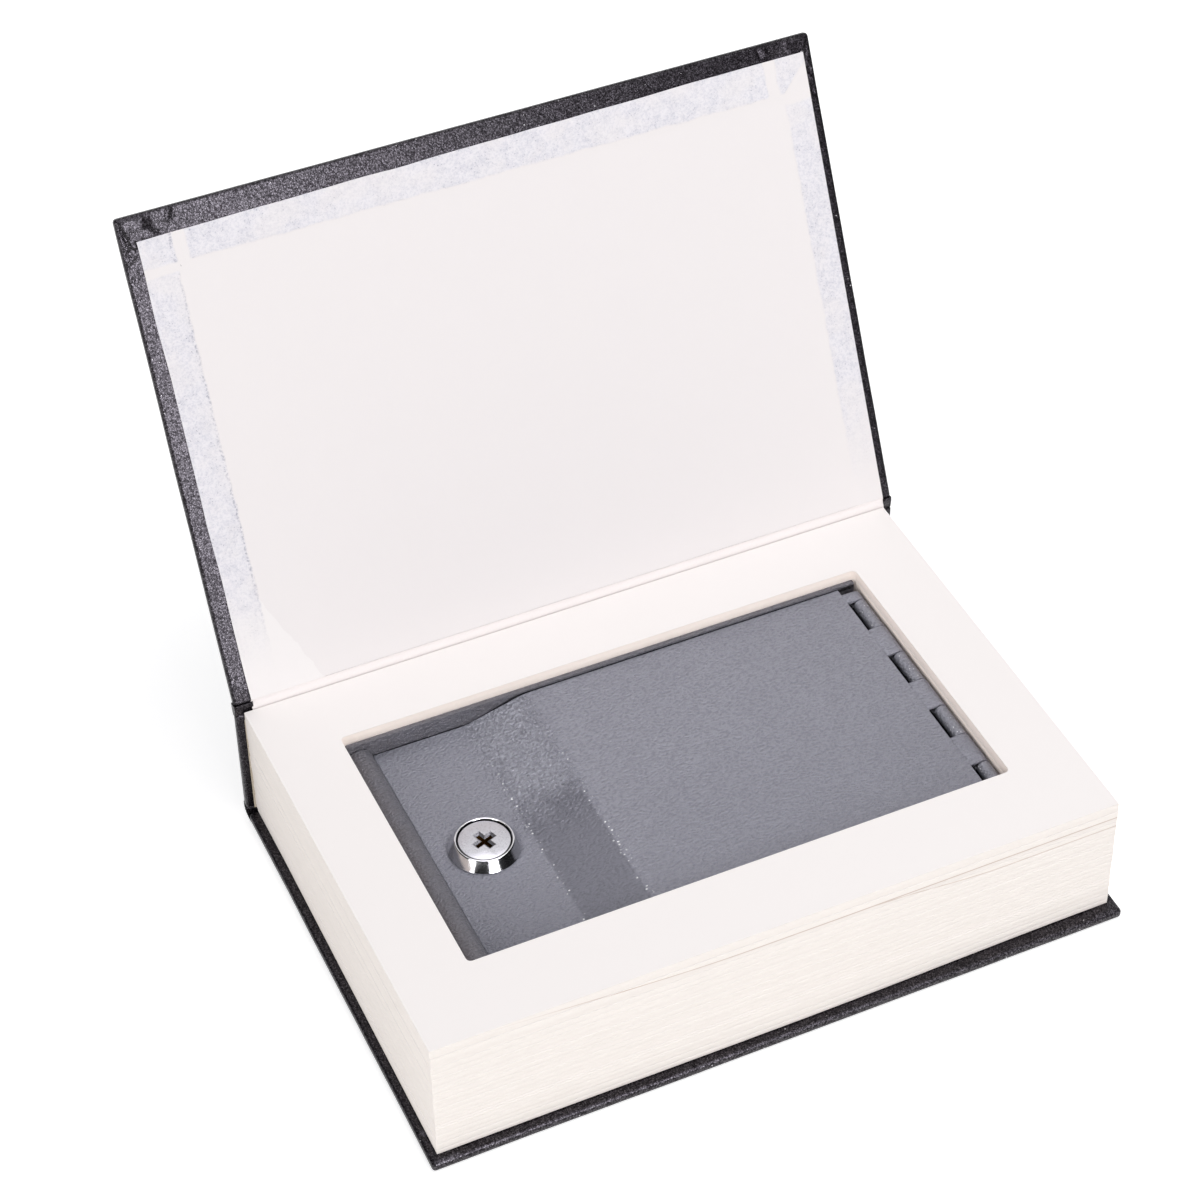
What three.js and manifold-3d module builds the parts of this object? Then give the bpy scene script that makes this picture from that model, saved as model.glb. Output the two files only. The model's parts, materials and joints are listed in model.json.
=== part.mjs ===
// A hardback book whose paper is cut out round a lockable steel box. Millimetres, +Z up.
// X runs along the spine and Y from the fore edge to the spine. The origin lies under the middle of
// the page block, on the underside of the back cover. The front cover stands open and the lid is shut.
import * as THREE from "three";
import { mergeVertices } from "three/addons/utils/BufferGeometryUtils.js";
import Module from "manifold-3d";

// Book case
const endSquare = 3.5;
const foreSquare = 6.1;
const coverOpenAngle = 116.2;
const boardThickness = 2;
const leatherette = 0.35;
const paperSheet = 0.15;
const glueLine = 0.15;
const turnInWidth = 15;
const pastedownForeInset = 7;
const endpaperTrim = 0.5;
const jointWidth = 3;
const jointGap = 0.3;
const hingeRise = 1.4;
const hingeBehindPages = 1.7;
const closedCoverGap = 0.3;

// Page block
const pageLength = 228;
const pageWidth = 151.6;
const pageHeight = 43.1;
const basePagesHeight = 4;
const leavesThickness = 3.15;
const leafGap = 0.1;
const liningThickness = 0.3;
const spineClearance = 0.3;
const windowLength = 181.4;
const windowWidth = 101.8;
const windowShift = 1.5;
const windowCornerRadius = 1.6;

// Steel box
const sheet = 1;
const boxClearance = 0.6;
const rimDepth = 3.3;
const adhesiveThickness = 0.4;
const adhesiveMargin = 10;
const catchRadius = 4.3;
const catchTail = 2.5;
const catchEndGap = 1;
const lidStopWidth = 12;
const lidStopDepth = 3;
const lidStopFromCatch = 5;

// Lid and its hinge
const lidDepth = 4.1;
const lidRecess = 5.5;
const lowerPartLength = 30.8;
const slopeLength = 20.5;
const bendLength = 2.5;
const lidEndGap = 0.7;
const lidSideGap = 1;
const pinRadius = 1.25;
const pinClearance = 0.15;
const knucklePitch = 27.2;
const knuckleLength = 13.5;
const knuckleGap = 0.4;
const firstTabLength = 4.5;
const cornerNotch = 2.5;
const slotBehindPin = 3.9;
const wallBelowTab = 0.6;
const rollAngle = 260;

// Lock
const lockFromLidEnd = 15.8;
const lockForward = 2.8;
const bodyRadius = 9.2;
const bodyLength = 9;
const flatDepth = 1;
const bezelRadius = 11.4;
const bezelTopRadius = 9.3;
const bezelHeight = 3.8;
const bezelFoot = 0.5;
const plugHeadRadius = 8.2;
const plugHeadThickness = 1.3;
const plugHeadSink = 0.3;
const plugRadius = 4.2;
const turningGap = 0.15;
const seatGap = 0.05;
const keywayArm = 3.1;
const keywayWidth = 1.6;
const keywayTurn = 20;
const keywayDepth = 10;
const washerRadius = 11;
const washerThickness = 0.8;
const nutAcrossFlats = 22;
const nutSides = 6;
const nutThickness = 3.5;
const threadGap = 0.15;

// Tumblers
const tumblerCount = 4;
const tumblerRadius = 0.75;
const tumblerDepth = 3.5;
const tumblerHoleGap = 0.15;
const driverLength = 1.4;
const springLength = 1.5;
const springWire = 0.12;
const springTurns = 3;
const stepsPerTurn = 8;
const wireSides = 5;

// Cam and its screw
const camThickness = 2;
const camWidth = 9;
const camHubRadius = 6.5;
const camTipReach = 20.5;
const camPlay = 0.6;
const camNutGap = 1.3;
const tailSquare = 5.6;
const tailGap = 0.3;
const camWasherRadius = 4.5;
const camWasherThickness = 0.8;
const screwRadius = 1.5;
const screwDepth = 5;
const screwHeadRadius = 3.5;
const screwHeadHeight = 2;

// How far a cut runs past the solid it cuts
const overcut = 1;

// Facets of round forms
const sameCorner = 1e-4;
const fineSides = 48;
const smallSides = 16;
const arcSteps = 12;

// Places in the book case, from the table up and from the fore edge to the spine
const coverLength = pageLength + 2 * endSquare;
const endpaperEndX = pageLength / 2 - endpaperTrim;
const coverThickness = 2 * leatherette + boardThickness + 3 * glueLine + paperSheet;
const pageBottom = coverThickness + leafGap;
const pageTop = pageBottom + pageHeight;
const pageFront = -pageWidth / 2;
const pageBack = pageWidth / 2;
const hingeY = pageBack + hingeBehindPages;
const hingeZ = pageTop + hingeRise;
const coverFront = pageFront - foreSquare;
const coverReach = hingeY - coverFront;
const coverBack = hingeY - jointWidth;
const coverInside = closedCoverGap - hingeRise;
const spineInner = pageBack + liningThickness + spineClearance;
const spineThickness = coverThickness - paperSheet - glueLine;
const spineOuter = spineInner + spineThickness;
const spineTop = hingeZ - jointWidth - jointGap - 2 * leatherette;

// Places in the page block and the steel box
const leavesBottom = pageTop - paperSheet - leafGap - leavesThickness;
const baseTop = pageBottom + basePagesHeight;
const boxBottom = baseTop + adhesiveThickness + 2 * leafGap;
const rimZ = pageTop - rimDepth;
const boxRight = windowLength / 2 - boxClearance;
const boxLeft = -boxRight;
const boxFront = windowShift - windowWidth / 2 + boxClearance;
const boxBack = windowShift + windowWidth / 2 - boxClearance;
const innerLeft = boxLeft + sheet;
const innerRight = boxRight - sheet;
const innerFront = boxFront + sheet;
const innerBack = boxBack - sheet;

// Places in the lid and the lock
const bodyFlat = bodyRadius - flatDepth;
const rollInner = pinRadius + pinClearance;
const rollOuter = rollInner + sheet;
const lidTop = pageTop - lidDepth;
const recessTop = lidTop - lidRecess;
const pinX = boxRight - rollOuter;
const pinZ = lidTop - rollOuter;
const catchX = boxLeft + catchRadius;
const catchInnerX = boxLeft + 2 * catchRadius;
const lidLeft = catchInnerX + lidEndGap;
const recessEnd = lidLeft + lowerPartLength;
const raisedStart = recessEnd + slopeLength;
const lidFront = innerFront + lidSideGap;
const lidBack = innerBack - lidSideGap;
const slotEdge = pinX - slotBehindPin;
const hingeBack = lidBack - cornerNotch;
const hingeFront = innerFront + lidSideGap;
const lockX = lidLeft + lockFromLidEnd;
const lockY = windowShift - lockForward;

const wasm = await Module();
wasm.setup();

// A closed geometry as a solid
function solidFrom(geometry) {
  const plain = geometry.clone();
  plain.deleteAttribute("normal");
  plain.deleteAttribute("uv");
  const merged = mergeVertices(plain, sameCorner);
  return new wasm.Manifold(
    new wasm.Mesh({
      numProp: 3,
      vertProperties: merged.attributes.position.array,
      triVerts: new Uint32Array(merged.index.array),
    }),
  );
}

// A solid as a geometry with its own normals
function geometryFrom(solid) {
  const mesh = solid.getMesh();
  const geometry = new THREE.BufferGeometry();
  geometry.setAttribute("position", new THREE.BufferAttribute(mesh.vertProperties, 3));
  geometry.setIndex(new THREE.BufferAttribute(mesh.triVerts, 1));
  const faceted = geometry.toNonIndexed();
  faceted.computeVertexNormals();
  return faceted;
}

// A block between two corners
function block(low, high) {
  const size = high.map((value, i) => value - low[i]);
  const geometry = new THREE.BoxGeometry(...size);
  geometry.translate(...low.map((value, i) => value + size[i] / 2));
  return solidFrom(geometry);
}

// An outline pushed along an axis: "x" reads the outline as (Y, Z), "y" as (X, Z) and "z" as (X, Y)
function extruded(outline, axis, start, end) {
  const geometry = new THREE.ExtrudeGeometry(outline, {
    depth: end - start,
    bevelEnabled: false,
    curveSegments: arcSteps,
  });
  const right = new THREE.Vector3(1, 0, 0);
  const away = new THREE.Vector3(0, 1, 0);
  const up = new THREE.Vector3(0, 0, 1);
  if (axis === "x") {
    geometry.applyMatrix4(new THREE.Matrix4().makeBasis(away, up, right));
    geometry.translate(start, 0, 0);
  } else if (axis === "y") {
    geometry.applyMatrix4(new THREE.Matrix4().makeBasis(right, up, away.negate()));
    geometry.translate(0, end, 0);
  } else {
    geometry.translate(0, 0, start);
  }
  return solidFrom(geometry);
}

// A closed or axis-to-axis profile of (radius, height) turned about Z
function turned(profile, sides) {
  const points = profile.map(([radius, height]) => new THREE.Vector2(radius, height));
  const geometry = new THREE.LatheGeometry(points, sides);
  geometry.rotateX(Math.PI / 2);
  return solidFrom(geometry);
}

function disc(radius, bottom, top, sides = fineSides) {
  return turned(
    [
      [0, bottom],
      [radius, bottom],
      [radius, top],
      [0, top],
    ],
    sides,
  );
}

function washer(inner, outer, bottom, top, sides = fineSides) {
  return turned(
    [
      [inner, bottom],
      [outer, bottom],
      [outer, top],
      [inner, top],
      [inner, bottom],
    ],
    sides,
  );
}

// A rod along X from one distance to another, at a height
function rodAlongX(radius, start, end, height) {
  const geometry = new THREE.CylinderGeometry(radius, radius, end - start, smallSides);
  geometry.rotateZ(Math.PI / 2);
  geometry.translate((start + end) / 2, 0, height);
  return solidFrom(geometry);
}

function polygon(points) {
  return new THREE.Shape(points.map(([a, b]) => new THREE.Vector2(a, b)));
}

function rectangle(left, right, bottom, top) {
  return polygon([
    [left, bottom],
    [right, bottom],
    [right, top],
    [left, top],
  ]);
}

// A rolled sheet's section: a ring from one angle to another, anticlockwise, in degrees
function rolledSection(x, z, inner, outer, from, to) {
  const shape = new THREE.Shape();
  const first = THREE.MathUtils.degToRad(from);
  const last = THREE.MathUtils.degToRad(to);
  shape.absarc(x, z, outer, first, last, false);
  shape.absarc(x, z, inner, last, first, true);
  return shape;
}

function roundedRectangle(left, right, bottom, top, radius) {
  const shape = new THREE.Shape();
  shape.absarc(right - radius, top - radius, radius, 0, Math.PI / 2, false);
  shape.absarc(left + radius, top - radius, radius, Math.PI / 2, Math.PI, false);
  shape.absarc(left + radius, bottom + radius, radius, Math.PI, 1.5 * Math.PI, false);
  shape.absarc(right - radius, bottom + radius, radius, 1.5 * Math.PI, 2 * Math.PI, false);
  return shape;
}

// A thin strip along X whose section bends from one end to the other past a corner, in (Y, Z)
function bentStrip(start, corner, end, thickness) {
  const bend = new THREE.QuadraticBezierCurve(
    new THREE.Vector2(...start),
    new THREE.Vector2(...corner),
    new THREE.Vector2(...end),
  );
  const middle = bend.getPoints(arcSteps / 2);
  const side = (sign) =>
    middle.map((point, i) => {
      const tangent = bend.getTangent(i / (middle.length - 1));
      const half = (sign * thickness) / 2;
      return [point.x - half * tangent.y, point.y + half * tangent.x];
    });
  return extruded(
    polygon([...side(-1), ...side(1).reverse()]),
    "x",
    -coverLength / 2,
    coverLength / 2,
  );
}

const book = new THREE.Group();
book.name = "book_diversion_safe";

function finish(color, roughness, metalness = 0) {
  return new THREE.MeshStandardMaterial({ color, roughness, metalness });
}

const leatherFinish = finish(0x1d1c1e, 0.62);
const boardFinish = finish(0x8f8777, 0.9);
const paperFinish = finish(0xf4efe9, 0.85);
const pageFinish = finish(0xf1e9de, 0.88);
const liningFinish = finish(0xd8cfbf, 0.9);
const adhesiveFinish = finish(0xe8e6e0, 0.7);
const paintFinish = finish(0x686a72, 0.5, 0.2);
const chromeFinish = finish(0xd9d9dc, 0.12, 1);
const steelFinish = finish(0xa9a9a6, 0.35, 1);
const brassFinish = finish(0xb99a55, 0.3, 1);

function add(name, solid, material, parent = book) {
  const mesh = new THREE.Mesh(geometryFrom(solid), material);
  mesh.name = name;
  parent.add(mesh);
  return mesh;
}

// Leatherette folded round a board: a closed face outside, the edges, and a border turned in over the
// inside. The board lies between its own low and high corners and outward says which way Z or Y faces.
function foldedWrap(boardLow, boardHigh, border, axis, outward) {
  const room = boardLow.map((value) => value - glueLine);
  const roomTop = boardHigh.map((value) => value + glueLine);
  const low = room.map((value) => value - leatherette);
  const high = roomTop.map((value) => value + leatherette);
  const windowLow = low.map((value, i) => (i === axis ? value : value + border));
  const windowHigh = high.map((value, i) => (i === axis ? value : value - border));
  const mouth = outward > 0 ? room[axis] + glueLine : roomTop[axis] - glueLine;
  if (outward > 0) {
    windowLow[axis] = low[axis] - leatherette;
    windowHigh[axis] = mouth;
  } else {
    windowLow[axis] = mouth;
    windowHigh[axis] = high[axis] + leatherette;
  }
  return block(low, high).subtract(block(room, roomTop)).subtract(block(windowLow, windowHigh));
}

const wrapLayer = leatherette + glueLine;

// Front cover, drawn shut about its hinge line and turned open as one group
const frontCover = new THREE.Group();
frontCover.position.set(0, hingeY, hingeZ);
frontCover.rotation.x = -THREE.MathUtils.degToRad(coverOpenAngle);
book.add(frontCover);

const pastedownTop = coverInside + paperSheet;
const frontBoardLow = [
  -coverLength / 2 + wrapLayer,
  -coverReach + wrapLayer,
  pastedownTop + glueLine + wrapLayer,
];
const frontBoardHigh = [
  coverLength / 2 - wrapLayer,
  -jointWidth - wrapLayer,
  frontBoardLow[2] + boardThickness,
];
add("front_cover_board", block(frontBoardLow, frontBoardHigh), boardFinish, frontCover);
add(
  "front_cover_wrap",
  foldedWrap(frontBoardLow, frontBoardHigh, turnInWidth, 2, 1),
  leatherFinish,
  frontCover,
);
add(
  "front_pastedown",
  block(
    [-endpaperEndX, -coverReach + pastedownForeInset, coverInside],
    [endpaperEndX, -jointWidth, pastedownTop],
  ),
  paperFinish,
  frontCover,
);

// Back cover, flat on the table
const backBoardLow = [-coverLength / 2 + wrapLayer, coverFront + wrapLayer, wrapLayer];
const backBoardHigh = [
  coverLength / 2 - wrapLayer,
  coverBack - wrapLayer,
  wrapLayer + boardThickness,
];
const backInside = backBoardHigh[2] + wrapLayer;
add("back_cover_board", block(backBoardLow, backBoardHigh), boardFinish);
add("back_cover_wrap", foldedWrap(backBoardLow, backBoardHigh, turnInWidth, 2, -1), leatherFinish);
add(
  "back_endpaper",
  block(
    [-endpaperEndX, coverFront + pastedownForeInset, backInside + glueLine],
    [endpaperEndX, coverBack, backInside + glueLine + paperSheet],
  ),
  paperFinish,
);

// Spine, upright behind the pages
const spineBottom = backInside + jointGap;
const spineBoardLow = [-coverLength / 2 + wrapLayer, spineInner + wrapLayer, spineBottom + wrapLayer];
const spineBoardHigh = [coverLength / 2 - wrapLayer, spineOuter - wrapLayer, spineTop - wrapLayer];
add("spine_board", block(spineBoardLow, spineBoardHigh), boardFinish);
add("spine_wrap", foldedWrap(spineBoardLow, spineBoardHigh, turnInWidth, 1, 1), leatherFinish);
add(
  "spine_lining",
  block(
    [-pageLength / 2, pageBack + leafGap / 2, pageBottom],
    [pageLength / 2, pageBack + liningThickness, leavesBottom],
  ),
  liningFinish,
);

// Joints of leatherette and paper that bend where the case folds
const openAngle = THREE.MathUtils.degToRad(coverOpenAngle);
const coverAlong = [-Math.cos(openAngle), Math.sin(openAngle)];
const coverOutward = [Math.sin(openAngle), Math.cos(openAngle)];
const onCover = (along, outward) => [
  hingeY + along * coverAlong[0] + outward * coverOutward[0],
  hingeZ + along * coverAlong[1] + outward * coverOutward[1],
];
const coverOutside = frontBoardHigh[2] + wrapLayer;
const spineSkin = spineOuter - leatherette / 2;
const frontJointEnd = onCover(jointWidth - jointGap, coverOutside - leatherette / 2);
const endpaperEnd = onCover(jointWidth - jointGap, coverInside + paperSheet / 2);
const halfway = (low, high) => (low + high) / 2;
add(
  "front_joint",
  bentStrip(
    [spineSkin, spineTop + jointGap],
    [spineSkin, halfway(spineTop, frontJointEnd[1])],
    frontJointEnd,
    leatherette,
  ),
  leatherFinish,
);
add(
  "back_joint",
  bentStrip(
    [coverBack + jointGap, leatherette / 2],
    [spineSkin, leatherette / 2],
    [spineSkin, spineBottom - jointGap],
    leatherette,
  ),
  leatherFinish,
);
add(
  "endpaper_hinge",
  bentStrip(
    [pageBack, pageTop + jointGap],
    [pageBack, halfway(pageTop, endpaperEnd[1])],
    endpaperEnd,
    paperSheet,
  ),
  paperFinish,
);

// Page block, with the window that the steel box stands in
const pagesOutline = () => rectangle(-pageLength / 2, pageLength / 2, pageFront, pageBack);
const windowOutline = roundedRectangle(
  -windowLength / 2,
  windowLength / 2,
  windowShift - windowWidth / 2,
  windowShift + windowWidth / 2,
  windowCornerRadius,
);

function cutPages(bottom, top) {
  const outline = pagesOutline();
  outline.holes.push(windowOutline);
  return extruded(outline, "z", bottom, top);
}

add("base_pages", extruded(pagesOutline(), "z", pageBottom, baseTop), pageFinish);
add("cut_pages", cutPages(baseTop + leafGap, leavesBottom - leafGap), pageFinish);
add("top_leaves", cutPages(leavesBottom, leavesBottom + leavesThickness), pageFinish);
add("top_flyleaf", cutPages(pageTop - paperSheet, pageTop), paperFinish);

// Steel box: floor and walls, the rolled catch edge at the lock end and the rolled knuckles
function knuckleSpans() {
  const spans = [];
  let back = hingeBack - firstTabLength;
  while (back - knuckleGap > hingeFront) {
    spans.push([Math.max(back - knuckleLength, hingeFront), back]);
    back -= knucklePitch;
  }
  return spans;
}

function tabSpans() {
  const spans = [];
  let back = hingeBack;
  for (const [front, knuckleBack] of knuckleSpans()) {
    spans.push([knuckleBack + knuckleGap, back]);
    back = front - knuckleGap;
  }
  if (back > hingeFront + knuckleGap) {
    spans.push([hingeFront, back]);
  }
  return spans;
}

function steelBox() {
  const lowWall = pinZ - rollOuter - wallBelowTab;
  const floor = block([boxLeft, boxFront, boxBottom], [boxRight, boxBack, boxBottom + sheet]);
  const back = block([boxLeft, innerBack, boxBottom], [boxRight, boxBack, rimZ]);
  const front = block([boxLeft, boxFront, boxBottom], [boxRight, innerFront, rimZ]);
  const right = block([innerRight, boxFront, boxBottom], [boxRight, boxBack, lowWall]);
  const left = block([boxLeft, boxFront, boxBottom], [innerLeft, boxBack, recessTop]);
  const roll = rolledSection(catchX, recessTop, catchRadius - sheet, catchRadius, 0, 180);
  const catchFront = innerFront + catchEndGap;
  const catchBack = innerBack - catchEndGap;
  const tail = block(
    [catchInnerX - sheet, catchFront, recessTop - catchTail],
    [catchInnerX, catchBack, recessTop],
  );
  const pieces = [floor, back, front, right, left, extruded(roll, "y", catchFront, catchBack), tail];
  for (const [start, end] of knuckleSpans()) {
    const eye = rolledSection(pinX, pinZ, rollInner, rollOuter, 0, rollAngle);
    pieces.push(extruded(eye, "y", start, end));
    pieces.push(block([innerRight, start, boxBottom], [boxRight, end, pinZ]));
  }
  const stopTop = recessTop - sheet - jointGap;
  const stopLeft = lidLeft + lidStopFromCatch;
  const stopRight = stopLeft + lidStopWidth;
  pieces.push(
    block([stopLeft, innerBack - lidStopDepth, stopTop - sheet], [stopRight, boxBack, stopTop]),
  );
  pieces.push(
    block([stopLeft, boxFront, stopTop - sheet], [stopRight, innerFront + lidStopDepth, stopTop]),
  );
  return pieces.reduce((whole, piece) => whole.add(piece));
}

add("steel_box", steelBox(), paintFinish);
add(
  "box_adhesive",
  block(
    [boxLeft + adhesiveMargin, boxFront + adhesiveMargin, baseTop + leafGap],
    [boxRight - adhesiveMargin, boxBack - adhesiveMargin, baseTop + leafGap + adhesiveThickness],
  ),
  adhesiveFinish,
);
add(
  "hinge_pin",
  disc(pinRadius, hingeFront, hingeBack, smallSides).rotate([-90, 0, 0]).translate([pinX, 0, pinZ]),
  steelFinish,
);

// Lid: a stepped sheet, low at the lock and raised to the hinge, with tabs rolled round the pin
function lidSection() {
  const slope = lidRecess / (raisedStart - recessEnd);
  const path = new THREE.Path();
  path.moveTo(lidLeft, recessTop);
  path.lineTo(recessEnd - bendLength, recessTop);
  path.quadraticCurveTo(
    recessEnd,
    recessTop,
    recessEnd + bendLength,
    recessTop + bendLength * slope,
  );
  path.lineTo(raisedStart - bendLength, lidTop - bendLength * slope);
  path.quadraticCurveTo(raisedStart, lidTop, raisedStart + bendLength, lidTop);
  path.lineTo(slotEdge, lidTop);
  const upper = path.getPoints(arcSteps / 2).map((point) => [point.x, point.y]);
  const lower = upper.map(([x, z]) => [x, z - sheet]);
  return polygon([...lower, ...upper.reverse()]);
}

function bodyOutline(radius, flat) {
  const round = disc(radius, -bodyLength, bezelHeight);
  const slab = block([-flat, -radius, -bodyLength], [flat, radius, bezelHeight]);
  return round.intersect(slab);
}

function boxLid() {
  const pieces = [extruded(lidSection(), "y", lidFront, lidBack)];
  for (const [start, end] of tabSpans()) {
    pieces.push(block([slotEdge - sheet, start, lidTop - sheet], [pinX, end, lidTop]));
    const eye = rolledSection(pinX, pinZ, rollInner, rollOuter, 90 - rollAngle, 90);
    pieces.push(extruded(eye, "y", start, end));
  }
  const whole = pieces.reduce((lid, piece) => lid.add(piece));
  const hole = bodyOutline(bodyRadius + 2 * threadGap, bodyFlat + threadGap);
  return whole.subtract(hole.translate([lockX, lockY, recessTop]));
}

add("box_lid", boxLid(), paintFinish);

// Lock, drawn about its own axis with height 0 on the lid's upper face
const lock = new THREE.Group();
lock.position.set(lockX, lockY, recessTop);
book.add(lock);

const boreRadius = plugRadius + turningGap;
const headBore = plugHeadRadius + turningGap;
const plugTop = bezelHeight - plugHeadSink;
const headBottom = plugTop - plugHeadThickness;
const driverStart = boreRadius + tumblerHoleGap;
const springStart = driverStart + driverLength + leafGap;
const springEnd = springStart + springLength;
const chamberEnd = springEnd + leafGap;

// Each tumbler's own copy of a solid drawn along +X, set where its arm of the keyway is
function roundTumblers(make) {
  return Array.from({ length: tumblerCount }, (_, i) =>
    make().rotate([0, 0, keywayTurn + (i * 360) / tumblerCount]),
  );
}

function lockHousing() {
  const round = turned(
    [
      [boreRadius, -bodyLength],
      [bodyRadius, -bodyLength],
      [bodyRadius, seatGap],
      [bezelRadius, seatGap],
      [bezelRadius, bezelFoot],
      [bezelTopRadius, bezelHeight - bezelFoot / 2],
      [bezelTopRadius - bezelFoot / 2, bezelHeight],
      [headBore, bezelHeight],
      [headBore, headBottom - turningGap],
      [boreRadius, headBottom - turningGap],
      [boreRadius, -bodyLength],
    ],
    fineSides,
  );
  const side = (sign) => {
    const near = sign > 0 ? bodyFlat : -bodyRadius - overcut;
    const far = sign > 0 ? bodyRadius + overcut : -bodyFlat;
    return block([near, -bodyRadius, -bodyLength - overcut], [far, bodyRadius, seatGap]);
  };
  const chambers = roundTumblers(() =>
    rodAlongX(tumblerRadius + tumblerHoleGap, plugRadius, chamberEnd, -tumblerDepth),
  );
  return [side(1), side(-1), ...chambers].reduce((whole, cut) => whole.subtract(cut), round);
}

const tailBottom = -bodyLength - turningGap - camThickness;

function lockPlug() {
  const round = turned(
    [
      [0, -bodyLength],
      [plugRadius, -bodyLength],
      [plugRadius, headBottom],
      [plugHeadRadius, headBottom],
      [plugHeadRadius, plugTop],
      [0, plugTop],
    ],
    fineSides,
  );
  const half = tailSquare / 2;
  const tail = block([-half, -half, tailBottom], [half, half, -bodyLength + seatGap]);
  const arm = keywayWidth / 2;
  const keywayBottom = plugTop - keywayDepth;
  const alongX = block([-keywayArm, -arm, keywayBottom], [keywayArm, arm, plugTop + overcut]);
  const alongY = block([-arm, -keywayArm, keywayBottom], [arm, keywayArm, plugTop + overcut]);
  const holes = roundTumblers(() =>
    rodAlongX(tumblerRadius + tumblerHoleGap, arm, plugRadius + overcut, -tumblerDepth),
  );
  const screwHole = disc(
    screwRadius + threadGap,
    tailBottom - overcut,
    tailBottom + screwDepth,
    smallSides,
  );
  const keyway = alongX.add(alongY).rotate([0, 0, keywayTurn]);
  return [keyway, screwHole, ...holes].reduce(
    (whole, cut) => whole.subtract(cut),
    round.add(tail),
  );
}

add("lock_housing", lockHousing(), chromeFinish, lock);
const plug = new THREE.Group();
lock.add(plug);
add("lock_plug", lockPlug(), chromeFinish, plug);

const washerTop = -sheet - seatGap;
const washerBottom = washerTop - washerThickness;
const nutTop = washerBottom - seatGap;
const nutBottom = nutTop - nutThickness;
const flatWasher = washer(bodyRadius + threadGap, washerRadius, washerBottom, washerTop);
const washerFlats = [-1, 1].map((sign) => {
  const near = bodyFlat + threadGap;
  const low = Math.min(sign * near, sign * (bodyRadius + sheet));
  const high = Math.max(sign * near, sign * (bodyRadius + sheet));
  const span = Math.sqrt(bodyRadius ** 2 - near ** 2);
  return block([low, -span, washerBottom], [high, span, washerTop]);
});
add(
  "lock_washer",
  washerFlats.reduce((whole, key) => whole.add(key), flatWasher),
  steelFinish,
  lock,
);
const nutCornerRadius = nutAcrossFlats / 2 / Math.cos(Math.PI / nutSides);
add(
  "lock_nut",
  disc(nutCornerRadius, nutBottom, nutTop, nutSides).subtract(
    disc(bodyRadius + threadGap, nutBottom - overcut, nutTop + overcut),
  ),
  steelFinish,
  lock,
);

// Tumblers, held level with the edge of the plug as a key holds them
const keyPinEnd = Math.sqrt(plugRadius ** 2 - tumblerRadius ** 2) - seatGap;
const keyPinStart = keywayArm - 2 * tumblerHoleGap;
roundTumblers(() => rodAlongX(tumblerRadius, keyPinStart, keyPinEnd, -tumblerDepth)).forEach(
  (pin, i) => add(`key_pin_${i + 1}`, pin, brassFinish, plug),
);
roundTumblers(() =>
  rodAlongX(tumblerRadius, driverStart, driverStart + driverLength, -tumblerDepth),
).forEach((pin, i) => add(`driver_pin_${i + 1}`, pin, brassFinish, lock));

class SpringPath extends THREE.Curve {
  getPoint(t) {
    const turn = 2 * Math.PI * springTurns * t;
    const radius = tumblerRadius - springWire;
    const along = springStart + springWire + t * (springLength - 2 * springWire);
    return new THREE.Vector3(
      along,
      radius * Math.cos(turn),
      radius * Math.sin(turn) - tumblerDepth,
    );
  }
}

function pinSpring() {
  const section = new THREE.Shape();
  section.absarc(0, 0, springWire, 0, 2 * Math.PI, false);
  const geometry = new THREE.ExtrudeGeometry(section, {
    steps: springTurns * stepsPerTurn,
    curveSegments: wireSides,
    extrudePath: new SpringPath(),
  });
  return solidFrom(geometry);
}

roundTumblers(pinSpring).forEach((spring, i) =>
  add(`pin_spring_${i + 1}`, spring, steelFinish, lock),
);

// Cam: a flat plate on the plug's square tail, cranked up outside the nut so that its tip turns in
// under the catch. It points to the fore edge while unlocked.
const camTop = -bodyLength - turningGap;
const camBottom = camTop - camThickness;
const tipTop = -catchTail - camPlay;
const riserStart = nutCornerRadius + camNutGap;
const riserEnd = riserStart + camThickness;

function lockCam() {
  const section = polygon([
    [0, camBottom],
    [riserEnd, camBottom],
    [riserEnd, tipTop - camThickness],
    [camTipReach, tipTop - camThickness],
    [camTipReach, tipTop],
    [riserStart, tipTop],
    [riserStart, camTop],
    [0, camTop],
  ]);
  const arm = extruded(section, "y", -camWidth / 2, camWidth / 2);
  const half = (tailSquare + tailGap) / 2;
  const hole = block([-half, -half, camBottom - overcut], [half, half, camTop + overcut]);
  return arm.add(disc(camHubRadius, camBottom, camTop)).subtract(hole).rotate([0, 0, -90]);
}

add("lock_cam", lockCam(), steelFinish, plug);
const camWasherTop = camBottom - seatGap;
const camWasherBottom = camWasherTop - camWasherThickness;
add(
  "cam_washer",
  washer(screwRadius + threadGap, camWasherRadius, camWasherBottom, camWasherTop, smallSides * 2),
  steelFinish,
  plug,
);
const screwHeadTop = camWasherBottom - seatGap;
add(
  "cam_screw",
  disc(screwHeadRadius, screwHeadTop - screwHeadHeight, screwHeadTop, smallSides * 2).add(
    disc(screwRadius, screwHeadTop - seatGap, tailBottom + screwDepth - jointGap, smallSides),
  ),
  steelFinish,
  plug,
);

export default book;
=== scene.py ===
"""Looks of a hardback book whose cut-out pages hide a lockable steel box.

Sizes are in metres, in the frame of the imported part: +Z is up, +X runs along the spine towards the
lid's hinge and +Y from the fore edge to the spine. The front cover stands open and the lid is shut.
"""

import json
import logging
import math
import random
from collections.abc import Callable, Sequence
from dataclasses import dataclass, field
from enum import Enum

import bmesh
import bpy
from mathutils import Matrix, Vector, noise


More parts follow.
